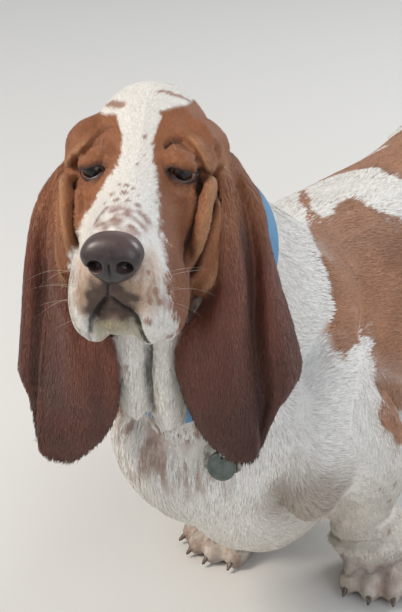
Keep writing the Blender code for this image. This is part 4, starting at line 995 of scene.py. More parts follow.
# Where the skull's own corners over the ears' roots are worn down into one slope.
TEMPLES = ((0.062, 0.040, 0.016), (-0.062, 0.040, 0.016))
TEMPLE_REACH = 34 * MM

# Grooves and rolls round the forelegs over the feet: height, width and depth in metres.
LEG_GROOVES = (
    (0.078, 2.2 * MM, 1.8 * MM),
    (0.061, 2.2 * MM, 3.0 * MM),
    (0.045, 2.2 * MM, 3.4 * MM),
    (0.03, 2.0 * MM, 2.4 * MM),
)
LEG_ROLLS = ((0.069, 5.0 * MM, 1.5 * MM), (0.053, 5.0 * MM, 2.2 * MM), (0.038, 4.5 * MM, 1.8 * MM))
GROOVE_TILT = 0.22
LEG_MIDDLE_X = 0.085
# The forelegs' rolls end behind this line.
FORELEGS_BEFORE_Y = 0.1


def leg_rolls(points, parts):
    """How far the loose skin round the forelegs stands out in rolls and sinks in the grooves between
    them: bell curves of height, on a slant that rises outwards."""
    slant = GROOVE_TILT * (np.abs(points[:, 0]) - LEG_MIDDLE_X) + lattice_noise(points, 0.02, 65) * 2 * MM
    high = points[:, 2] - slant
    lift = np.zeros(len(points))
    for rings, sign in ((LEG_GROOVES, -1), (LEG_ROLLS, 1)):
        for middle_height, width, height in rings:
            lift += sign * height * np.exp(-(((high - middle_height) / width) ** 2))
    return lift * parts["legs"] * (points[:, 1] < FORELEGS_BEFORE_Y)


def fine_wrinkles(points, parts):
    """Soft unevenness of loose skin: long low waves that run down the neck and legs, and short ones
    across the trunk."""
    waves = lattice_noise(points * np.array([1.0, 1.0, 0.35]), 0.022, 61) * 0.8 * MM * parts["neck"]
    waves += lattice_noise(points, 0.045, 62) * 1.2 * MM * parts["torso"]
    waves += lattice_noise(points * np.array([0.6, 0.6, 1.4]), 0.016, 63) * 0.6 * MM * parts["legs"]
    waves += lattice_noise(points * np.array([1.0, 1.0, 0.3]), 0.014, 64) * 0.5 * MM * parts["ears"]
    return waves


def subdivided_where(mesh, chosen):
    """The mesh with each face's edges halved where both ends are chosen."""
    work = bmesh.new()
    work.from_mesh(mesh)
    work.verts.ensure_lookup_table()
    picked = set(np.flatnonzero(chosen).tolist())
    edges = [e for e in work.edges if e.verts[0].index in picked and e.verts[1].index in picked]
    bmesh.ops.subdivide_edges(work, edges=edges, cuts=1, use_grid_fill=True)
    bmesh.ops.triangulate(work, faces=work.faces[:])
    work.to_mesh(mesh)
    work.free()
    return mesh


# How many steps the decimation's weights have, and how much they count.
KEEP_LEVELS = 10
KEEP_COUNTS = 0.05


def thinned(mesh, keep, count):
    """The mesh collapsed to a count of triangles, less where keep is high, by a vertex group with
    a few levels."""
    piece = bpy.data.objects.new("thinned", mesh)
    bpy.context.scene.collection.objects.link(piece)
    group = piece.vertex_groups.new(name="plain")
    levels = np.clip(np.round((1 - keep) * KEEP_LEVELS), 1, KEEP_LEVELS).astype(int)
    for level in range(1, KEEP_LEVELS + 1):
        group.add(np.flatnonzero(levels == level).tolist(), level / KEEP_LEVELS, "REPLACE")
    collapse = piece.modifiers.new("thin", "DECIMATE")
    collapse.ratio = count / len(mesh_arrays(mesh)[1])
    collapse.vertex_group = group.name
    collapse.vertex_group_factor = KEEP_COUNTS
    result = evaluated_mesh(piece)
    bpy.data.objects.remove(piece)
    return result


# The face is cut finer before this depth and under this height, in the skull's own frame.
FINE_BEFORE_Y = 0.055
FINE_UNDER_Z = 0.045
# Rounds of smoothing for the parts' borders, the whole skin and the temples.
BORDER_ROUNDS = 6
SKIN_ROUNDS = 14
TEMPLE_ROUNDS = 70


def build_skin(settings):
    """The whole skin: the flesh remeshed, cut finer on the face and ears, smoothed, folded, closed round
    the eyes by its lids, and thinned."""
    mesh, shares = remeshed_flesh(settings.skin_step)
    for part, values in shares.items():
        number_attribute(mesh, "part_" + part, values)
    for name in PART_SETS:
        mesh.color_attributes.remove(mesh.color_attributes[name])
    points, _ = mesh_arrays(mesh)
    _, y, z = to_head(points).T
    fine_face = (shares["head"] > 0.4) & (y < FINE_BEFORE_Y) & (z < FINE_UNDER_Z)
    subdivided_where(mesh, fine_face | (shares["ears"] > 0.6))
    points, _ = mesh_arrays(mesh)
    eye_gap = np.min([np.linalg.norm(points - centre, axis=1) for centre in EYE_CENTRES.values()], axis=0)
    subdivided_where(mesh, eye_gap < 1.2 * LID_REACH)
    points, triangles = mesh_arrays(mesh)
    edges = edges_of(triangles)
    values = np.stack([read_numbers(mesh, "part_" + part) for part in COAT_DEPTH], axis=1)
    values = relaxed(values, edges, BORDER_ROUNDS, 0.6)
    parts = dict(zip(COAT_DEPTH, values.T))
    points = relaxed(points, edges, SKIN_ROUNDS, 0.35 + 0.3 * parts["torso"] + 0.2 * parts["legs"], 0.9)
    at_temple = np.min([np.linalg.norm(to_head(points) - np.array(t), axis=1) for t in TEMPLES], axis=0)
    worn = ramp(TEMPLE_REACH, 0.5 * TEMPLE_REACH, at_temple)
    points = relaxed(points, edges, TEMPLE_ROUNDS, 0.75 * worn)
    normals = point_normals(points, triangles)
    relief = np.clip(parts["head"] + parts["ears"] + parts["neck"], 0, 1) * face_relief(points)
    relief += leg_rolls(points, parts)
    number_attribute(mesh, "relief", relief)
    lift = fine_wrinkles(points, parts) + relief
    depth = sum(COAT_DEPTH[part] * parts[part] for part in COAT_DEPTH)
    points = points + normals * (lift - depth)[:, None]
    points = lids_over_eyes(points + ear_drape(points, parts))
    mesh.vertices.foreach_set("co", points.astype(np.float32).ravel())
    for part, column in parts.items():
        mesh.attributes["part_" + part].data.foreach_set("value", column.astype(np.float32))
    keep = np.clip(1.2 * parts["head"] + 0.5 * parts["ears"] + 0.6 * ramp(0.10, 0.08, points[:, 2]), 0, 1)
    mesh = thinned(mesh, keep, settings.skin_triangles)
    points, _ = mesh_arrays(mesh)
    colour_attribute(mesh, "coat_colour", markings(points, parts_of(mesh), read_numbers(mesh, "relief")))
    mesh.polygons.foreach_set("use_smooth", np.ones(len(mesh.polygons), bool))
    mesh.name = "skin"
    return mesh


def skin_material():
    """Short coat seen as a surface: hair shafts lying flat, so it is soft and barely glossy, with fine
    streaks along the lie that break up the light."""
    material, add = new_material("short_coat_over_skin")
    place = add("TexCoord").outputs["Object"]
    colour = add("Attribute", attribute_name="coat_colour")
    # Single hairs are too fine to show, so the streaks are about 2 mm wide and 12 mm long.
    along = add("Mapping", [("Vector", place)], Scale=(1.0, 1.0, 0.16))
    streaks = add("TexNoise", [("Vector", along)], Scale=520.0, Detail=3.0)
    mottle = add("TexNoise", [("Vector", place)], Scale=160.0, Detail=2.0)
    darker = add("MapRange", [("Value", streaks)], From_Min=0.3, From_Max=0.7, To_Min=0.84, To_Max=1.06)
    shaded = add("VectorMath", [(0, colour), ("Scale", darker)], operation="SCALE")
    bump = add("Bump", [("Height", streaks)], Strength=0.5, Distance=0.6 * MM)
    bump_more = add("Bump", [("Height", mottle), ("Normal", bump)], Strength=0.3, Distance=1.0 * MM)
    shader = add(
        "BsdfPrincipled", [("Base Color", shaded), ("Normal", bump_more)], Roughness=0.72,
        Sheen_Weight=0.15, Sheen_Roughness=0.5,
    )
    add("OutputMaterial", [("Surface", shader)])
    return material


# Each kind of coat: hair length and tuft width in metres, tufts for each square millimetre of skin,
# and how steeply they rise, in degrees.
COATS = {
    "ears": (5.5 * MM, 0.65 * MM, 0.62, 2.5),
    "head": (3.2 * MM, 0.38 * MM, 1.35, 3.0),
    "neck": (8.0 * MM, 0.80 * MM, 0.42, 3.5),
    "torso": (9.0 * MM, 0.95 * MM, 0.32, 3.2),
    "legs": (4.6 * MM, 0.62 * MM, 0.55, 2.6),
    "tail": (10.0 * MM, 0.85 * MM, 0.55, 6.0),
}
TUFTS_IN_PIECE = 64000
# The size of each tuft's own patch on the flat sheet.
BAKE_PATCH = 0.003
# How deep roots sink, how far tufts stand clear of the skin, and how far each leans its own way.
ROOT_SUNK = 0.3 * MM
TUFT_CLEAR = 0.40 * MM
TUFT_LEAN = 0.13
# The tone of a tuft at its five points.
TUFT_TONES = np.array([0.88, 0.88, 0.99, 0.99, 1.04])
# Half the width and height of the bare nose, and where hair starts above the pads.
NOSE_BARE_X = 0.0205
NOSE_BARE_Z = 0.0165
PADS_BARE = 0.0025
PADS_FULL = 0.006


def scattered(points, triangles, crowding, draw):
    """Places spread over the triangles, so many to each square metre: the triangles and the shares of
    their three corners."""
    corners = points[triangles]
    across = np.cross(corners[:, 1] - corners[:, 0], corners[:, 2] - corners[:, 0])
    wanted = 0.5 * np.linalg.norm(across, axis=1) * crowding[triangles].mean(axis=1)
    total = np.cumsum(wanted)
    chosen = np.searchsorted(total, draw.random(int(total[-1])) * total[-1])
    a, b = draw.random((2, len(chosen)))
    over = a + b > 1
    a, b = np.where(over, 1 - a, a), np.where(over, 1 - b, b)
    return chosen, np.stack([1 - a - b, a, b], axis=1)


def unwrapped(points, normals, parts):
    """A flat place from 0 to 1 for each point of the skin. Each part of the body is cut into six charts
    by the side that it faces, each laid flat along that side, and the charts stand in rows on one
    sheet at one scale, tallest first."""
    part = np.argmax(np.stack([parts[name] for name in COAT_DEPTH]), axis=0)
    facing = np.argmax(np.abs(normals), axis=1)
    sign = normals[np.arange(len(normals)), facing] > 0
    chart = part * 6 + facing * 2 + sign
    flat = np.empty((len(points), 2))
    for axis in range(3):
        kept = [i for i in range(3) if i != axis]
        flat[facing == axis] = points[facing == axis][:, kept]
    used = np.unique(chart)
    lows = {c: flat[chart == c].min(axis=0) for c in used}
    sizes = {c: flat[chart == c].max(axis=0) - lows[c] + 2 * BAKE_PATCH for c in used}
    row_end = 1.15 * math.sqrt(sum(size.prod() for size in sizes.values()))
    x = y = tall = 0.0
    widest = 0.0
    for c in sorted(used, key=lambda c: -sizes[c][1]):
        if x + sizes[c][0] > row_end:
            x, y, tall = 0.0, y + tall, 0.0
        flat[chart == c] += np.array([x, y]) - lows[c] + BAKE_PATCH
        x += sizes[c][0]
        widest = max(widest, x)
        tall = max(tall, sizes[c][1])
    return flat / max(widest, y + tall)


def tuft_arrays(roots, normals, lies, lengths, widths, rises, draw):
    """Flat tapered tufts of five points: two at the sunk root, two half way, and the tip. The middle
    stands off the skin by the rise and the tip bends back along it."""
    across = unit(np.cross(normals, lies))
    roll = draw.normal(0, 0.12, len(roots))[:, None]
    across = across * np.cos(roll) + normals * np.sin(roll)
    lift = lengths * np.tan(rises)
    start = roots - normals * ROOT_SUNK
    halfway = roots + lies * (0.5 * lengths)[:, None] + normals * (0.55 * lift + TUFT_CLEAR)[:, None]
    tip = roots + lies * lengths[:, None] + normals * (0.8 * lift + 0.6 * TUFT_CLEAR)[:, None]
    half = across * (0.5 * widths)[:, None]
    corners = [start - 0.7 * half, start + 0.7 * half, halfway - half, halfway + half, tip]
    points = np.stack(corners, axis=1)
    first = (np.arange(len(roots)) * 5)[:, None, None]
    faces = first + np.array([[0, 3, 1], [0, 2, 3], [2, 4, 3]])
    return points.reshape(-1, 3), faces.reshape(-1, 3)


def tuft_shades(colours, draw):
    """Each tuft's colour at its five points: darker at the root, lighter at the tip, and a little
    lighter or darker from one tuft to the next."""
    each = 1 + draw.normal(0, 0.075, len(colours))
    shades = colours[:, None, :] * (each[:, None] * TUFT_TONES)[:, :, None]
    return np.clip(shades, 0, 1).reshape(-1, 3)


def bake_corners(flat, faces):
    """The tufts' own small patches round their roots' places on the sheet."""
    reach = 0.5 * BAKE_PATCH
    offsets = np.array([[-0.6, -1.0], [0.6, -1.0], [-1.0, 0.0], [1.0, 0.0], [0.0, 1.0]]) * reach
    places = np.clip(flat[:, None, :] + offsets, 0.0, 1.0).reshape(-1, 2)
    return places[faces.ravel()]


def free_of_coat(points):
    """1 where hair grows and 0 where none does: in the eyes' openings, on the nose leather and under
    the feet."""
    x, y, z = to_head(points).T
    grows = ramp(PADS_BARE, PADS_FULL, points[:, 2])
    nose = NOSE_CENTRE
    inside = ((x - nose[0]) / NOSE_BARE_X) ** 2 + ((z - nose[2]) / NOSE_BARE_Z) ** 2
    grows = grows * np.where((inside < 1) & (y < nose[1] + 0.012), 0, 1)
    for side, centre in EYE_CENTRES.items():
        local = to_head(points) - to_head(centre[None])
        bare = outside_opening(local[:, 0] * side, local[:, 2]) < LID_BARE
        near = (local[:, 1] < 0.002) & (np.hypot(local[:, 0], local[:, 2]) < 0.02)
        grows = grows * np.where(bare & near, 0, 1)
    return grows


def build_coat(skin, settings):
    """The tufts of the whole coat, as pieces of a set number of tufts from each part."""
    draw = np.random.default_rng(7)
    mesh = skin.data
    points, triangles = mesh_arrays(mesh)
    normals = point_normals(points, triangles)
    parts = parts_of(mesh)
    styles = np.array([COATS[name] for name in COAT_DEPTH])
    belongs = np.stack([parts[name] for name in COAT_DEPTH], axis=1)
    belongs = belongs / np.maximum(belongs.sum(axis=1, keepdims=True), 1e-6)
    crowding = belongs @ styles[:, 2] / MM**2 * free_of_coat(points) * settings.coat_density
    chosen, shares = scattered(points, triangles, crowding, draw)
    corners = triangles[chosen]

    def carried(values):
        """Values of the three corners mixed by the root's shares."""
        return np.einsum("nk,nk...->n...", shares, values[corners])

    roots, ups, belongs = carried(points), unit(carried(normals)), carried(belongs)
    grows = free_of_coat(roots) > 0.5
    roots, ups, belongs = roots[grows], ups[grows], belongs[grows]
    root_parts = dict(zip(COAT_DEPTH, belongs.T))
    lies = lie_of_coat(roots, ups, root_parts)
    yaw = draw.normal(0, 0.11, len(roots))[:, None]
    lies = lies * np.cos(yaw) + np.cross(ups, lies) * np.sin(yaw)
    near = shorter_near(roots)

    def varied(spread, low, high):
        """A factor about 1 for each tuft, drawn with that spread and held between two ends."""
        return 1 + draw.normal(0, spread, len(roots)).clip(low, high)

    length = settings.coat_length * belongs @ styles[:, 0] * varied(0.16, -0.4, 0.4) * near
    width = belongs @ styles[:, 1] * varied(0.15, -0.4, 0.4) * (0.5 + 0.5 * near)
    rise = np.radians(belongs @ styles[:, 3] * varied(0.35, -0.7, 1.2))
    relief = np.einsum("nk,nk->n", shares, read_numbers(mesh, "relief")[corners])[grows]
    colours = markings(roots, root_parts, relief)
    flat = unwrapped(roots, ups, root_parts)
    material = tuft_material()
    owner = np.argmax(belongs, axis=1)
    for place, name in enumerate(COAT_DEPTH):
        mine = np.flatnonzero(owner == place)
        mine = mine[np.argsort(roots[mine, 1], kind="stable")]
        for number, part in enumerate(np.array_split(mine, math.ceil(len(mine) / TUFTS_IN_PIECE)), 1):
            tuft_points, faces = tuft_arrays(
                roots[part], ups[part], lies[part], length[part], width[part], rise[part], draw
            )
            tufts = make_mesh(f"coat_{name}_{number}", tuft_points, faces)
            facing = unit(ups[part] + draw.normal(0, TUFT_LEAN, (len(part), 3)))
            tufts.normals_split_custom_set_from_vertices(np.repeat(facing, 5, axis=0).astype(np.float32))
            colour_attribute(tufts, "coat_colour", tuft_shades(colours[part], draw))
            layer = tufts.uv_layers.new(name="OFBake")
            layer.data.foreach_set("uv", bake_corners(flat[part], faces).astype(np.float32).ravel())
            make_piece(tufts.name, tufts, material)


def shorter_near(points):
    """How much of its full length the hair has: half round the eyes, nose and lips and on the toes."""
    share = 0.55 + 0.45 * ramp(0.012, 0.05, points[:, 2])
    at_nose = np.linalg.norm(to_head(points) - NOSE_CENTRE, axis=1)
    share = share * (0.6 + 0.4 * ramp(0.02, 0.06, at_nose))
    for centre in EYE_CENTRES.values():
        share = share * (0.6 + 0.4 * ramp(0.012, 0.03, np.linalg.norm(points - centre, axis=1)))
    return share


def tuft_material():
    """Flat tufts of short hair: a soft dry gloss along each tuft, and no more, as on a clean coat."""
    material, add = new_material("short_hair_tufts")
    colour = add("Attribute", attribute_name="coat_colour")
    place = add("TexCoord").outputs["Object"]
    grain = add("TexNoise", [("Vector", place)], Scale=900.0, Detail=1.0)
    darker = add("MapRange", [("Value", grain)], From_Min=0.3, From_Max=0.7, To_Min=0.88, To_Max=1.08)
    shaded = add("VectorMath", [(0, colour), ("Scale", darker)], operation="SCALE")
    shader = add(
        "BsdfPrincipled", [("Base Color", shaded)], Roughness=0.62, Sheen_Weight=0.1, Sheen_Roughness=0.5
    )
    add("OutputMaterial", [("Surface", shader)])
    return material


EYE_RINGS = 48
EYE_SPOKES = 72
# The edges of the pupil and the iris, in degrees from the line of sight.
PUPIL_EDGE = 20.0
IRIS_EDGE = 44.0
# How far the ball lies under the solid's, how far the cornea stands proud, and over what angle.
BALL_UNDER = 0.2 * MM
CORNEA_RISE = 0.7 * MM
CORNEA_WIDE = 0.62
GAZE = np.array([0.06, -0.97, -0.22])


def at_eye(points, side):
    """Points about the eye's middle, in the skull's directions, placed in the room."""
    return from_head(points + to_head(EYE_CENTRES[side][None]))


def eyeball(side):
    """A ball turned about its line of sight, whose cornea stands a little proud: the radius grows by a
    bell curve of the angle from that line. Each point keeps that angle in degrees."""
    away = np.linspace(0, math.pi, EYE_RINGS + 1)[1:-1]
    away_grid, round_grid = np.meshgrid(away, whole_turn(EYE_SPOKES), indexing="ij")
    sight = GAZE * np.array([side, 1, 1])
    sight = sight / np.linalg.norm(sight)
    right = np.cross(sight, [0, 0, 1.0])
    right /= np.linalg.norm(right)
    up = np.cross(right, sight)
    radius = EYE_R - BALL_UNDER + CORNEA_RISE * np.exp(-((away_grid / CORNEA_WIDE) ** 4))
    rim = np.cos(round_grid)[..., None] * right + np.sin(round_grid)[..., None] * up
    points = radius[..., None] * (np.cos(away_grid)[..., None] * sight + np.sin(away_grid)[..., None] * rim)
    front = (EYE_R - BALL_UNDER + CORNEA_RISE) * sight
    back = -(EYE_R - BALL_UNDER) * sight
    points = np.vstack([points.reshape(-1, 3), front, back])
    angles = np.concatenate([np.degrees(away_grid).ravel(), [0, 180]])
    return outward(at_eye(points, side), ball_faces(len(away), EYE_SPOKES)), angles


def eye_material():
    """A living eye: a near-black pupil, a dark brown iris with fine radial fibres and a darker rim, and
    an off-white ball, all under a clear wet film that gives the sharp glint."""
    material, add = new_material("wet_dark_brown_eye")
    angle = add("Attribute", attribute_name="from_sight")
    place = add("TexCoord").outputs["Object"]
    fibres = add("TexNoise", [("Vector", place)], Scale=1400.0, Detail=3.0)
    share = add("Math", [(0, angle.outputs["Fac"])], operation="DIVIDE", in_1=90.0)
    bands = add("ValToRGB", [("Fac", share)])
    stops = (
        (0.0, "#050404"),
        (PUPIL_EDGE / 90, "#070505"),
        ((PUPIL_EDGE + 3) / 90, "#2B160C"),
        ((IRIS_EDGE - 9) / 90, "#331C10"),
        (IRIS_EDGE / 90, "#1A0E09"),
        ((IRIS_EDGE + 5) / 90, "#8A6F62"),
        (0.85, "#A98C80"),
    )
    set_stops(bands, stops)
    lively = add("MapRange", [("Value", fibres)], From_Min=0.3, From_Max=0.7, To_Min=0.7, To_Max=1.3)
    tinted = add("VectorMath", [(0, bands), ("Scale", lively)], operation="SCALE")
    shader = add(
        "BsdfPrincipled",
        [("Base Color", tinted)],
        Roughness=0.30,
        IOR=1.36,
        Coat_Weight=0.45,
        Coat_Roughness=0.04,
        Coat_IOR=1.36,
    )
    add("OutputMaterial", [("Surface", shader)])
    return material


RIM_STEPS = 96
RIM_SIDES = 10
# How far above the ball the rim's middle runs, and how far outside the opening.
RIM_ABOVE = 0.45 * MM
RIM_OUTSIDE = 0.5 * MM
# The lining's section, from its sunk lower edge over the top to its sunk upper one: the share of its
# height, and how far it stands above the ball.
HAW_SECTION = (
    (-0.5, -0.6 * MM),
    (-0.5, 0.15 * MM),
    (0.0, 0.4 * MM),
    (0.6, 0.35 * MM),
    (1.0, 0.0),
    (1.0, -0.6 * MM),
)
HAW_HIGH = 1.7 * MM
HAW_STEPS = 40


def on_ball(out, up, radius):
    """How far forward of the eye's middle a ball of that radius is, at a place out and up from it."""
    return -np.sqrt(np.maximum(radius**2 - out**2 - up**2, 1e-8))


def lid_rim(side):
    """The bare rim of the lids: a tube round the opening's edge that rests on the ball, thicker along
    the sagging lower lid."""
    turn = whole_turn(RIM_STEPS)
    out, up = opening_edge(turn)
    lower = ramp(0.2, -0.6, np.sin(turn))
    thick = (0.75 + 0.55 * lower) * MM
    stretch = 1 + RIM_OUTSIDE / np.hypot(out, up)
    out, up = out * stretch, up * stretch
    centre = np.stack([out, on_ball(out, up, EYE_R + RIM_ABOVE), up], axis=1)
    ahead = unit(np.roll(centre, -1, axis=0) - np.roll(centre, 1, axis=0))
    away = unit(centre)
    beside = np.cross(ahead, away)
    spin = whole_turn(RIM_SIDES)
    ring = np.cos(spin)[None, :, None] * away[:, None, :] + np.sin(spin)[None, :, None] * beside[:, None, :]
    points = centre[:, None, :] + ring * thick[:, None, None]
    points = points.reshape(-1, 3) * np.array([side, 1, 1])
    return outward(at_eye(points, side), halved(tube_faces(RIM_STEPS, RIM_SIDES)))


def haw(side):
    """The red lining that the sagging lower lid bares: a crescent that lies on the ball, closed at the
    back, highest in the middle."""
    along = np.linspace(0.06, 0.94, HAW_STEPS)
    out, up = opening_edge(math.pi * (1 + along))
    height = HAW_HIGH * np.sin(math.pi * along) ** 0.8
    rows = []
    for share, lift in HAW_SECTION:
        place = up + share * height
        rows.append(np.stack([out, on_ball(out, place, EYE_R + lift), place], axis=1))
    points = np.stack(rows, axis=1)
    count, ring = points.shape[:2]
    flat = points.reshape(-1, 3) * np.array([side, 1, 1])
    triangles = [halved(grid_faces(count, ring))]
    corner = np.arange(1, ring - 1)
    for first in (0, (count - 1) * ring):
        fan = first + np.stack([np.zeros(ring - 2, int), corner, corner + 1], axis=1)
        triangles.append(fan if first else fan[:, ::-1])
    return outward(at_eye(flat, side), np.vstack(triangles))


def wet_skin_material(name, code, dark_code, gloss):
    """Bare damp skin: fine mottling between two tones and a soft wet gloss."""
    material, add = new_material(name)
    place = add("TexCoord").outputs["Object"]
    noise = add("TexNoise", [("Vector", place)], Scale=700.0, Detail=3.0)
    tones = add("ValToRGB", [("Fac", noise)])
    set_stops(tones, ((0.35, dark_code), (0.65, code)))
    bump = add("Bump", [("Height", noise)], Strength=0.4, Distance=0.3 * MM)
    shader = add(
        "BsdfPrincipled", [("Base Color", tones), ("Normal", bump)], Roughness=gloss,
        Coat_Weight=0.4, Coat_Roughness=0.2,
    )
    add("OutputMaterial", [("Surface", shader)])
    return material


# Half the nose's width, depth and height, how much its lower end narrows, and its grid.
NOSE_HALF = np.array([0.0224, 0.0150, 0.0186])
NOSE_NARROWS = 0.36
NOSE_RINGS = 96
NOSE_SPOKES = 144
# The left nostril's middle from the nose's, across and up, with the pit's reach and depth.
NOSTRIL_AT = (0.0104, -0.0032)
NOSTRIL_R = 5.0 * MM
NOSTRIL_DEEP = 8.0 * MM
# The raised rim over each nostril: its distance from the middle, width and height.
WING_R = 6.3 * MM
WING_WIDE = 1.6
WING_HIGH = 1.0 * MM
# The slit from each nostril: how far it starts below the middle, its slope, width and depth.
SLIT_DROP = 1.2 * MM
SLIT_SLOPE = 0.25
SLIT_WIDE = 1.5
SLIT_DEEP = 3.4 * MM
# The groove down the middle: its width and depth.
GROOVE_WIDE = 0.75
GROOVE_DEEP = 1.6 * MM


def nose_leather():
    """The nose pad: a rounded block, broad on top and narrower below, from a grid of rings round the
    line out of the nostrils. Each nostril is a deep round pit, a power-four bell curve, with a raised
    rim over it and a slit that runs out and a little down from it, and a groove runs down the middle."""
    away = np.linspace(0, math.pi, NOSE_RINGS + 1)[1:-1]
    away_grid, round_grid = np.meshgrid(away, whole_turn(NOSE_SPOKES), indexing="ij")

    def squared(value, power):
        """The value's size raised to a power below one, which squares off a circle."""
        return np.sign(value) * np.abs(value) ** power

    x = squared(np.sin(away_grid), 0.85) * squared(np.cos(round_grid), 0.88)
    z = squared(np.sin(away_grid), 0.85) * squared(np.sin(round_grid), 0.88)
    y = -squared(np.cos(away_grid), 0.72)
    x = np.append(x.ravel(), [0, 0]) * NOSE_HALF[0]
    z = np.append(z.ravel(), [0, 0]) * NOSE_HALF[2]
    y = np.append(y.ravel(), [-1, 1]) * NOSE_HALF[1]
    low = ramp(0.25, -1.0, z / NOSE_HALF[2])
    x = x * (1 - NOSE_NARROWS * low)
    y = y + 0.0035 * low * (y < 0) - 0.0012 * ramp(0.2, 0.9, np.abs(x) / NOSE_HALF[0]) * (y < 0)
    front = ramp(0.2, -0.3, y / NOSE_HALF[1])
    for side in (1, -1):
        dx, dz = x * side - NOSTRIL_AT[0], z - NOSTRIL_AT[1]
        reach = np.hypot(dx, dz * 1.15)
        y = y + front * NOSTRIL_DEEP * np.exp(-((reach / NOSTRIL_R) ** 4))
        wing = np.exp(-(((reach - WING_R) / WING_WIDE / MM) ** 2))
        y = y - front * WING_HIGH * wing * ramp(0.004, -0.004, dz)
        slit = np.exp(-(((dz + SLIT_DROP + SLIT_SLOPE * dx) / SLIT_WIDE / MM) ** 2))
        slit = slit * ramp(0.0, 0.002, dx) * ramp(0.0115, 0.0070, dx)
        y = y + front * SLIT_DEEP * slit
    groove = np.exp(-((x / GROOVE_WIDE / MM) ** 2)) * ramp(0.004, -0.002, z)
    y = y + front * GROOVE_DEEP * groove
    points = np.stack([x, y, z], axis=1) + NOSE_CENTRE + np.array([0, 0.001, 0])
    return outward(from_head(points), ball_faces(len(away), NOSE_SPOKES))


def nose_material():
    """Nose leather: small raised pebbles parted by fine cracks, dark brown-violet, damp enough for a soft
    gloss, and lighter where it faces up: a painted sheen on top."""
    material, add = new_material("pebbled_nose_leather_painted_sheen")
    place = add("TexCoord").outputs["Object"]
    # Pebbles about a millimetre across, as on the real leather.
    pebbles = add("TexVoronoi", [("Vector", place)], feature="DISTANCE_TO_EDGE", Scale=900.0)
    cracks = add("MapRange", [("Value", pebbles)], From_Min=0.0, From_Max=0.22, To_Min=0.0, To_Max=1.0)
    mottle = add("TexNoise", [("Vector", place)], Scale=120.0, Detail=4.0)
    # The colour is lighter where the surface faces up: a painted sheen from above.
    facing = add("NewGeometry")
    apart = add("SeparateXYZ", [("Vector", facing.outputs["Normal"])])
    rise = add("Math", [(0, apart.outputs["Z"])], operation="MULTIPLY", in_1=0.6)
    painted_top_sheen = add("Math", [(0, mottle), (1, rise)], operation="ADD")
    tones = add("ValToRGB", [("Fac", painted_top_sheen)])
    set_stops(tones, ((0.42, "#17100F"), (1.0, "#4B3A37")))
    bump = add("Bump", [("Height", cracks)], Strength=0.22, Distance=0.2 * MM)
    shader = add(
        "BsdfPrincipled", [("Base Color", tones), ("Normal", bump)], Roughness=0.42,
        Coat_Weight=0.35, Coat_Roughness=0.28,
    )
    add("OutputMaterial", [("Surface", shader)])
    return material


# The loop of the collar: its middle, the way up its back and the way to its left.
COLLAR_CENTRE = np.array([-0.0318, -0.3292, 0.3675])
COLLAR_BACK = np.array([0.05, 0.57, 0.82])
COLLAR_SIDE = np.array([1.0, -0.12, -0.12])
COLLAR_STATIONS = 480
COLLAR_COLUMNS = 15
COLLAR_THICK = 2.3 * MM
COLLAR_HALF = 10.2 * MM
COLLAR_SLACK = 0.15 * MM
# The spacing of the webbing's threads.
WEAVE_ACROSS = 1.5 * MM
WEAVE_ALONG = 1.9 * MM


def collar_frame():
    """The directions across, up the back of and along the axis of the collar's loop."""
    back = COLLAR_BACK / np.linalg.norm(COLLAR_BACK)
    side = COLLAR_SIDE - back * (COLLAR_SIDE @ back)
    side = side / np.linalg.norm(side)
    return side, back, np.cross(side, back)


def around(values, angles, wanted):
    """Values known at angles round a loop, at the wanted angles, rounded off by a short mean."""
    order = np.argsort(angles)
    looped = np.concatenate([angles[order] - 2 * math.pi, angles[order], angles[order] + 2 * math.pi])
    known = np.interp(wanted, looped, np.tile(values[order], 3))
    window = np.hanning(COLLAR_STATIONS // 16 + 1)
    padded = np.concatenate([known[-len(window):], known, known[: len(window)]])
    return np.convolve(padded, window / window.sum(), "same")[len(window) : -len(window)]


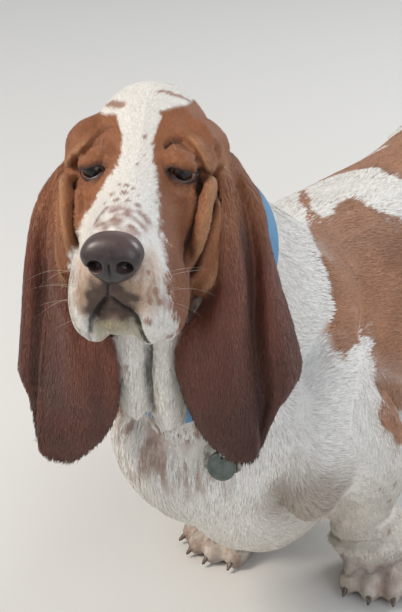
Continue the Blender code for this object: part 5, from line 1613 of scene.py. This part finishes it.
def collar_band():
    """A woven band with rounded, slightly thicker edges that follows the solid collar's loop, and its own
    flat coordinates in metres along and across."""
    side, back, axis = collar_frame()
    points, _ = node_arrays("collar")
    local = points - COLLAR_CENTRE
    angles = np.arctan2(local @ back, local @ side) % (2 * math.pi)
    high = local @ axis
    radius = np.hypot(local @ back, local @ side)
    wanted = whole_turn(COLLAR_STATIONS)
    edges = []
    for edge in (high < 0, high > 0):
        inner = np.zeros(len(points), bool)
        for angle in np.unique(np.round(angles[edge], 2)):
            here = np.flatnonzero(edge & (np.abs(angles - angle) < 0.02))
            inner[here[np.argmin(radius[here])]] = True
        edges.append(around(radius[inner], angles[inner], wanted))
    share = np.linspace(-1, 1, COLLAR_COLUMNS)
    puff = 0.5 * COLLAR_THICK * (1 + 0.10 * np.exp(-(((np.abs(share) - 0.86) / 0.08) ** 2)))
    puff = puff * np.sqrt(np.clip(1 - np.abs(share) ** 18, 0.04, 1))
    across = np.concatenate([share, share[::-1]])
    out = 0.5 * COLLAR_THICK + np.concatenate([puff, -puff[::-1]])
    low, top = edges
    base = low[:, None] * (1 - across) / 2 + top[:, None] * (1 + across) / 2 + COLLAR_SLACK
    reach = base + out
    spoke = np.cos(wanted)[:, None] * side + np.sin(wanted)[:, None] * back
    v = across * COLLAR_HALF
    grid = COLLAR_CENTRE + spoke[:, None, :] * reach[..., None] + axis * v[None, :, None]
    ring = len(across)
    quads = tube_faces(COLLAR_STATIONS, ring)
    centre_line = grid[:, COLLAR_COLUMNS // 2]
    run = np.linalg.norm(np.diff(centre_line, axis=0, append=centre_line[:1]), axis=1)
    along = np.concatenate([[0], np.cumsum(run)])
    station = np.repeat(np.arange(COLLAR_STATIONS), ring)
    column = np.tile(np.arange(ring), COLLAR_STATIONS)
    beside = (column + 1) % ring
    columns = np.stack([column, beside, beside, column], axis=1)
    stations = np.stack([station, station, station + 1, station + 1], axis=1)
    flat = np.stack([along[stations], v[columns]], axis=-1)
    return grid.reshape(-1, 3), quads, flat.reshape(-1, 2)


def webbing_material(colour):
    """Blue polyester webbing: a tight plain weave with a raised thread every millimetre and a half, a
    firmer edge, threads that differ a little, painted shade in the weave's low spots, and a little grime in
    random patches."""
    material, add = new_material("blue_polyester_webbing")
    flat = add("UVMap", uv_map="weave")
    apart = add("SeparateXYZ", [("Vector", flat)])
    waves = []
    for axis, period in (("X", WEAVE_ALONG), ("Y", WEAVE_ACROSS)):
        turns = add("Math", [(0, apart.outputs[axis])], operation="MULTIPLY", in_1=2 * math.pi / period)
        waves.append(add("Math", [(0, turns)], operation="SINE"))
    weave = add("Math", [(0, waves[0]), (1, waves[1])], operation="MULTIPLY")
    height = add("MapRange", [("Value", weave)], From_Min=-1.0, From_Max=1.0)
    place = add("TexCoord").outputs["Object"]
    threads = add("TexNoise", [("Vector", place)], Scale=900.0, Detail=2.0)
    grime = add("TexNoise", [("Vector", place)], Scale=60.0, Detail=4.0)
    # The weave's low spots are painted darker: painted shade between the threads.
    weave_painted_shade = add("MapRange", [("Value", height)], From_Min=0.0, From_Max=1.0, To_Min=0.62, To_Max=1.05)
    worn = add("MapRange", [("Value", grime)], From_Min=0.35, From_Max=0.7, To_Min=1.0, To_Max=0.78)
    both = add("Math", [(0, weave_painted_shade), (1, worn)], operation="MULTIPLY")
    shaded = add("VectorMath", [("Scale", both)], operation="SCALE", in_0=tuple(colour)[:3])
    bump = add("Bump", [("Height", height)], Strength=0.8, Distance=0.35 * MM)
    fuzz = add("Bump", [("Height", threads), ("Normal", bump)], Strength=0.3, Distance=0.15 * MM)
    shader = add(
        "BsdfPrincipled", [("Base Color", shaded), ("Normal", fuzz)], Roughness=0.68,
        Sheen_Weight=0.25, Sheen_Roughness=0.4,
    )
    add("OutputMaterial", [("Surface", shader)])
    return material


# The tags hang across and up these directions.
TAG_ACROSS = np.array([0.95, 0.30, 0.0])
TAG_UP = np.array([0.0, 0.22, 0.975])
# The wire's two rings: their radii, and the radii of their wires.
RING_R = 14.5 * MM
LOOP_R = 10.0 * MM
RING_WIRE = 0.8 * MM
LOOP_WIRE = 1.0 * MM
# The plates' holes, and how far above the plate's middle each is.
HOLE_R = 1.8 * MM
DISC_HOLE = 8.6 * MM
BONE_HOLE = 2.6 * MM
DISC_R = 12.0 * MM
DISC_STEPS = 120
# The bone's half length, the radius of its lobes and half its waist.
BONE_HALF = 16.5 * MM
BONE_LOBE = 6.6 * MM
BONE_WAIST = 5.0 * MM
TAG_DISH = 0.12 * MM
TAG_THICK = 1.15 * MM
TAG_ROUNDING = 0.3 * MM
# A plate's section: the share of the way from hole to edge, the inset in roundings, and the level in
# half thicknesses.
TAG_SECTION = (
    (0.0, 1, 1), (0.0, 0.3, 0.85), (0.0, 0.0, 0.45), (0.0, 0.0, -0.45), (0.0, 0.3, -0.85),
    (0.0, 1, -1), (0.25, 0, -1), (0.5, 0, -1), (0.75, 0, -1), (1.0, -1, -1), (1.0, -0.3, -0.85),
    (1.0, 0.0, -0.45), (1.0, 0.0, 0.45), (1.0, -0.3, 0.85), (1.0, -1, 1), (0.94, 0, 1),
    (0.86, 0, 1), (0.7, 0, 1), (0.5, 0, 1), (0.25, 0, 1),
)


def tag_frame():
    """The directions across, up and out of the hanging tags."""
    across = TAG_ACROSS / np.linalg.norm(TAG_ACROSS)
    up = TAG_UP - across * (TAG_UP @ across)
    up = up / np.linalg.norm(up)
    return across, up, np.cross(across, up)


def wire_ring(centre, radius, wire, across, up, steps=96, sides=14):
    """A closed round wire ring in the plane of across and up."""
    out = np.cross(across, up)
    turn, spin = whole_turn(steps), whole_turn(sides)
    spoke = np.cos(turn)[:, None] * across + np.sin(turn)[:, None] * up
    reach = radius + wire * np.cos(spin)
    points = centre + spoke[:, None, :] * reach[None, :, None] + out * (wire * np.sin(spin))[None, :, None]
    return outward(points.reshape(-1, 3), halved(tube_faces(steps, sides)))


def plate(outline, hole_up, centre, dish):
    """A flat plate of that outline with a round hole and rounded rims. Its section goes once round from
    the hole to the edge and back, and its middle is pressed in a little."""
    across, up, out = tag_frame()
    count = len(outline)
    turn = whole_turn(count)
    hole = np.stack([np.cos(turn), np.sin(turn)], axis=1) * HOLE_R + np.array([0, hole_up])
    span = np.linalg.norm(outline - hole, axis=1, keepdims=True)
    half = TAG_THICK / 2
    rows = []
    for share, inset, level in TAG_SECTION:
        t = share + inset * TAG_ROUNDING / span
        flat = hole * (1 - t) + outline * t
        pressed = dish if level == 1 and 0.2 < share < 0.9 else 0.0
        rows.append(centre + flat[:, :1] * across + flat[:, 1:] * up + out * (level * half - pressed))
    points = np.stack(rows, axis=1)
    return outward(points.reshape(-1, 3), halved(tube_faces(count, len(TAG_SECTION))))


def bone_outline(half, lobe, waist, steps):
    """A bone's outline as a reach for each angle: the furthest of four round lobes and a bar."""
    turn = whole_turn(steps)
    c, s = np.cos(turn), np.sin(turn)
    best = np.zeros(steps)
    for sx in (-1, 1):
        for sy in (-1, 1):
            px, py = sx * (half - lobe), sy * lobe * 0.72
            b = c * px + s * py
            inside = b * b - (px * px + py * py - lobe * lobe)
            best = np.maximum(best, np.where(inside > 0, b + np.sqrt(np.maximum(inside, 0)), 0))
    bar = waist / np.maximum(np.abs(s), 1e-6)
    best = np.maximum(best, np.where(np.abs(c * bar) < half - lobe, bar, 0))
    return np.stack([c * best, s * best], axis=1)


def worn_metal(name, code, dark_code, roughness):
    """Handled metal: fine scratches in all directions, and dull patches of darker tone."""
    material, add = new_material(name)
    place = add("TexCoord").outputs["Object"]
    long = add("Mapping", [("Vector", place)], Scale=(1.0, 1.0, 0.08))
    scratches = add("TexNoise", [("Vector", long)], Scale=2200.0, Detail=3.0)
    patches = add("TexNoise", [("Vector", place)], Scale=180.0, Detail=4.0)
    tones = add("ValToRGB", [("Fac", patches)])
    set_stops(tones, ((0.35, dark_code), (0.62, code)))
    rough = add(
        "MapRange",
        [("Value", patches)],
        From_Min=0.3,
        From_Max=0.7,
        To_Min=roughness + 0.12,
        To_Max=roughness - 0.06,
    )
    bump = add("Bump", [("Height", scratches)], Strength=0.25, Distance=0.05 * MM)
    shader = add(
        "BsdfPrincipled", [("Base Color", tones), ("Roughness", rough), ("Normal", bump)], Metallic=1.0
    )
    add("OutputMaterial", [("Surface", shader)])
    return material


FEET = ("fore_left", "fore_right", "hind_left", "hind_right")
CLAWS = tuple(f"claw_{foot}_{number}" for foot in FEET for number in (1, 2, 3, 4))


def claws_mesh():
    """The claws' own solids rounded by two subdivisions and joined."""
    points, triangles, count = [], [], 0
    for node in CLAWS:
        p, t = node_arrays(node)
        points.append(p)
        triangles.append(t + count)
        count += len(p)
    draft = bpy.data.objects.new("claws", make_mesh("claws", np.vstack(points), np.vstack(triangles)))
    bpy.context.scene.collection.objects.link(draft)
    rounding = draft.modifiers.new("round", "SUBSURF")
    rounding.levels = 2
    mesh = evaluated_mesh(draft)
    bpy.data.objects.remove(draft)
    mesh.name = "claws"
    return mesh


def horn_material():
    """Claw horn: dark grey-brown with pale streaks that run down its length, and a worn soft shine."""
    material, add = new_material("dark_claw_horn")
    place = add("TexCoord").outputs["Object"]
    long = add("Mapping", [("Vector", place)], Scale=(1.0, 0.3, 0.5))
    streaks = add("TexNoise", [("Vector", long)], Scale=900.0, Detail=3.0)
    tones = add("ValToRGB", [("Fac", streaks)])
    set_stops(tones, ((0.35, "#2B2320"), (0.72, "#8C7767")))
    bump = add("Bump", [("Height", streaks)], Strength=0.3, Distance=0.15 * MM)
    shader = add("BsdfPrincipled", [("Base Color", tones), ("Normal", bump)], Roughness=0.38)
    add("OutputMaterial", [("Surface", shader)])
    return material


# Where the whiskers stand on the left side, in the skull's own frame, and their lengths as shares of
# the full one. The right side has the same.
WHISKER_ROWS = (
    (0.031, -0.084, -0.052, 1.3),
    (0.033, -0.076, -0.056, 1.6),
    (0.032, -0.082, -0.064, 1.0),
    (0.034, -0.073, -0.068, 1.5),
    (0.032, -0.08, -0.076, 0.9),
    (0.034, -0.07, -0.078, 1.0),
    (0.03, -0.083, -0.088, 0.7),
    (0.028, 0.002, 0.024, 0.55),
    (0.01, -0.088, -0.094, 0.6),
)
WHISKER_LONG = 23 * MM
WHISKER_THICK = 0.12 * MM
WHISKER_STEPS = 9
WHISKER_SIDES = 6


def whiskers(skin_points, skin_normals):
    """Tapered hairs rooted on the skin: each starts along the surface's normal, leans out and back, and
    droops by the square of the distance along it."""
    draw = np.random.default_rng(11)
    roots = np.array([(x * side, y, z, size) for side in (1, -1) for x, y, z, size in WHISKER_ROWS])
    wanted = from_head(roots[:, :3])
    nearest = [int(np.argmin(np.sum((skin_points - place) ** 2, axis=1))) for place in wanted]
    base, normal = skin_points[nearest], skin_normals[nearest]
    out = unit(normal + np.array([0, 0, 0.10]) + draw.normal(0, 0.16, base.shape))
    length = WHISKER_LONG * roots[:, 3] * draw.uniform(0.8, 1.2, len(roots))
    t = np.linspace(0, 1, WHISKER_STEPS)
    drop = draw.uniform(0.15, 0.55, len(roots))
    line = base[:, None] - normal[:, None] * ROOT_SUNK + out[:, None] * (length[:, None] * t)[..., None]
    line[..., 2] -= (drop * length)[:, None] * t**2
    ahead = unit(np.gradient(line, axis=1).reshape(-1, 3)).reshape(line.shape)
    beside = unit(np.cross(ahead.reshape(-1, 3), [0, 0, 1.0])).reshape(line.shape)
    over = np.cross(ahead, beside)
    spin = whole_turn(WHISKER_SIDES)
    thick = WHISKER_THICK * (1 - 0.85 * t)
    ring = np.cos(spin)[:, None] * beside[:, :, None, :] + np.sin(spin)[:, None] * over[:, :, None, :]
    points = line[:, :, None, :] + ring * thick[None, :, None, None]
    each = WHISKER_STEPS * WHISKER_SIDES
    quads = grid_faces(WHISKER_STEPS, WHISKER_SIDES)
    quads = (np.arange(len(roots)) * each)[:, None, None] + quads[None]
    return points.reshape(-1, 3), quads.reshape(-1, 4)


def whisker_material():
    """Whisker hair: stiff, pale and slightly glossy, with a tone that varies at random along it."""
    material, add = new_material("pale_whisker_hair")
    place = add("TexCoord").outputs["Object"]
    noise = add("TexNoise", [("Vector", place)], Scale=90.0)
    tones = add("ValToRGB", [("Fac", noise)])
    set_stops(tones, ((0.0, "#8F8577"), (1.0, "#D8D0C2")))
    shader = add("BsdfPrincipled", [("Base Color", tones)], Roughness=0.35)
    add("OutputMaterial", [("Surface", shader)])
    return material


def floor_material():
    """Matt pale studio floor: no gloss, so it shows the soft shadows and nothing else."""
    material, add = new_material("matt_pale_studio_floor")
    shader = add("BsdfPrincipled", Base_Color=linear("#D9D8D5"), Roughness=0.9)
    add("OutputMaterial", [("Surface", shader)])
    return material


class HoundSettings(bpy.types.PropertyGroup):
    """Sizes and counts that a user would change."""

    skin_step: FloatProperty(
        name="Skin step",
        description="Width of the squares that the skin is first made from",
        default=2.0 * MM,
        unit="LENGTH",
        subtype="DISTANCE",
    )
    skin_triangles: IntProperty(
        name="Skin triangles", description="Triangles left in the skin", default=190000
    )
    coat_density: FloatProperty(
        name="Coat density", description="Tufts as a share of the full coat's", default=1.0, min=0.05, max=1.5
    )
    coat_length: FloatProperty(
        name="Coat length", description="Hair length as a share of the usual", default=1.0, min=0.3, max=3.0
    )
    collar_colour: FloatVectorProperty(
        name="Collar colour", description="The webbing", default=linear("#5E9CC9")[:3], subtype="COLOR"
    )


class HOUND_OT_skin(bpy.types.Operator):
    """Makes the one skin that stands for all the flesh"""

    bl_idname = "hound.skin"
    bl_label = "Skin"

    def execute(self, context):
        settings = context.scene.hound
        make_piece("skin", build_skin(settings), skin_material(), FLESH)
        return {"FINISHED"}


class HOUND_OT_coat(bpy.types.Operator):
    """Grows the short coat on the skin, as joined flat tufts"""

    bl_idname = "hound.coat"
    bl_label = "Coat"

    def execute(self, context):
        build_coat(bpy.data.objects["skin"], context.scene.hound)
        return {"FINISHED"}


class HOUND_OT_eyes(bpy.types.Operator):
    """Makes both eyeballs, the bare rims of the lids and the red lining in the lower ones"""

    bl_idname = "hound.eyes"
    bl_label = "Eyes"

    def execute(self, context):
        wet = eye_material()
        rim = wet_skin_material("dark_bare_lid_rim", "#4B3B38", "#241A19", 0.35)
        red = wet_skin_material("wet_red_haw", "#8A5850", "#643733", 0.22)
        for side, name in ((1, "left"), (-1, "right")):
            (points, triangles), angles = eyeball(side)
            ball = make_mesh("eyeball_" + name, points, triangles)
            number_attribute(ball, "from_sight", angles)
            make_piece(ball.name, ball, wet, ("eye_" + name,))
            make_piece("lid_rim_" + name, make_mesh("lid_rim_" + name, *lid_rim(side)), rim)
            make_piece("haw_" + name, make_mesh("haw_" + name, *haw(side)), red)
        return {"FINISHED"}


class HOUND_OT_nose(bpy.types.Operator):
    """Makes the nose leather with its nostrils"""

    bl_idname = "hound.nose"
    bl_label = "Nose"

    def execute(self, context):
        pad = make_mesh("nose_pad", *nose_leather())
        make_piece("nose_pad", pad, nose_material(), ("nose",))
        return {"FINISHED"}


class HOUND_OT_gear(bpy.types.Operator):
    """Makes the webbing collar and the loop, ring and two tags that hang from it"""

    bl_idname = "hound.gear"
    bl_label = "Collar and tags"

    def execute(self, context):
        points, quads, flat = collar_band()
        band = make_mesh("collar_band", points, quads)
        layer = band.uv_layers.new(name="weave")
        layer.data.foreach_set("uv", flat.astype(np.float32).ravel())
        webbing = webbing_material(context.scene.hound.collar_colour)
        make_piece("collar_band", band, webbing, ("collar",))
        steel = worn_metal("worn_nickel_wire", "#B9BCBC", "#7D8284", 0.24)
        tag = worn_metal("dull_anodised_tag", "#747B76", "#646B66", 0.42)
        bare = worn_metal("worn_bone_tag", "#A9A79F", "#77766F", 0.30)
        across, up, out = tag_frame()
        rings = (("tag_loop", LOOP_R, LOOP_WIRE, across), ("tag_ring", RING_R, RING_WIRE, out))
        for node, radius, wire, plane in rings:
            ring = wire_ring(middle(node), radius, wire, plane, up)
            make_piece(node + "_wire", make_mesh(node + "_wire", *ring), steel, (node,))
        turn = whole_turn(DISC_STEPS)
        disc = np.stack([np.cos(turn), np.sin(turn)], axis=1) * DISC_R
        bone = bone_outline(BONE_HALF, BONE_LOBE, BONE_WAIST, DISC_STEPS)
        plates = (("tag_disc", disc, DISC_HOLE, tag), ("tag_bone", bone, BONE_HOLE, bare))
        for node, outline, hole, material in plates:
            shape = plate(outline, hole, middle(node), TAG_DISH)
            make_piece(node + "_plate", make_mesh(node + "_plate", *shape), material, (node,))
        return {"FINISHED"}


class HOUND_OT_claws(bpy.types.Operator):
    """Rounds the sixteen claws"""

    bl_idname = "hound.claws"
    bl_label = "Claws"

    def execute(self, context):
        make_piece("claws", claws_mesh(), horn_material(), CLAWS)
        return {"FINISHED"}


class HOUND_OT_whiskers(bpy.types.Operator):
    """Sets the whiskers on the muzzle, chin and brows"""

    bl_idname = "hound.whiskers"
    bl_label = "Whiskers"

    def execute(self, context):
        points, triangles = mesh_arrays(bpy.data.objects["skin"].data)
        hairs = make_mesh("whiskers", *whiskers(points, point_normals(points, triangles)))
        make_piece("whiskers", hairs, whisker_material())
        return {"FINISHED"}


class HOUND_PT_panel(bpy.types.Panel):
    """Buttons and sizes for the hound"""

    bl_idname = "HOUND_PT_panel"
    bl_label = "Basset hound"
    bl_space_type = "VIEW_3D"
    bl_region_type = "UI"
    bl_category = "Hound"

    def draw(self, context):
        column = self.layout.column(align=True)
        for name in HoundSettings.__annotations__:
            column.prop(context.scene.hound, name)
        column = self.layout.column(align=True)
        for step in STEPS:
            column.operator("hound." + step)


# The camera's place and aim in the room, and its lens in millimetres.
CAMERA_AT = (0.5554, -1.4090, 0.8782)
CAMERA_TARGET = (-0.1238, -0.1582, 0.2445)
LENS = 94.12
FLOOR_CORNERS = ((-6, -6, 0), (6, -6, 0), (6, 6, 0), (-6, 6, 0))
ROOM_COLOUR = "#DDE3EA"
ROOM_LIGHT = 0.58
# The lamps, aimed at one point: name, place, width, power and colour.
LIT_POINT = (0, -0.1, 0.25)
LIGHTS = (
    ("key", (-1.6, -2.2, 2.6), 1.3, 92, "#FFF4E6"),
    ("fill", (2.4, -1.6, 1.4), 2.0, 22, "#EEF3FF"),
    ("rim", (1.4, 2.4, 2.2), 1.4, 55, "#FFFFFF"),
)


def aimed(place, target):
    """The turn that points a lamp or camera from a place at a target."""
    return (Vector(target) - Vector(place)).to_track_quat("-Z", "Y").to_euler()


class HOUND_OT_stage(bpy.types.Operator):
    """Makes the floor, the lights and the camera"""

    bl_idname = "hound.stage"
    bl_label = "Stage"

    def execute(self, context):
        scene = context.scene
        floor = bpy.data.objects.new("floor", make_mesh("floor", FLOOR_CORNERS, [[0, 1, 2, 3]]))
        scene.collection.objects.link(floor)
        floor.data.materials.append(floor_material())
        scene.view_settings.view_transform = "Standard"
        world = bpy.data.worlds.new("soft room")
        scene.world = world
        world.use_nodes = True
        background = world.node_tree.nodes["Background"]
        background.inputs["Color"].default_value = linear(ROOM_COLOUR)
        background.inputs["Strength"].default_value = ROOM_LIGHT
        for name, place, size, power, code in LIGHTS:
            lamp = bpy.data.lights.new(name, "AREA")
            lamp.shape = "DISK"
            lamp.size = size
            lamp.energy = power
            lamp.color = linear(code)[:3]
            holder = bpy.data.objects.new(name, lamp)
            holder.location = place
            holder.rotation_euler = aimed(place, LIT_POINT)
            scene.collection.objects.link(holder)
        camera = bpy.data.objects.new("camera", bpy.data.cameras.new("camera"))
        camera.data.lens = LENS
        camera.data.sensor_width = 36
        camera.data.clip_start = 0.01
        camera.location = CAMERA_AT
        camera.rotation_euler = aimed(CAMERA_AT, CAMERA_TARGET)
        scene.collection.objects.link(camera)
        scene.camera = camera
        return {"FINISHED"}


CLASSES = (
    HoundSettings,
    HOUND_OT_skin,
    HOUND_OT_coat,
    HOUND_OT_eyes,
    HOUND_OT_nose,
    HOUND_OT_gear,
    HOUND_OT_claws,
    HOUND_OT_whiskers,
    HOUND_OT_stage,
    HOUND_PT_panel,
)
STEPS = ("skin", "coat", "eyes", "nose", "gear", "claws", "whiskers", "stage")


def register():
    for kind in CLASSES:
        bpy.utils.register_class(kind)
    bpy.types.Scene.hound = PointerProperty(type=HoundSettings)


def unregister():
    del bpy.types.Scene.hound
    for kind in reversed(CLASSES):
        bpy.utils.unregister_class(kind)


def main():
    register()
    for step in STEPS:
        getattr(bpy.ops.hound, step)()


if __name__ == "__main__":
    main()
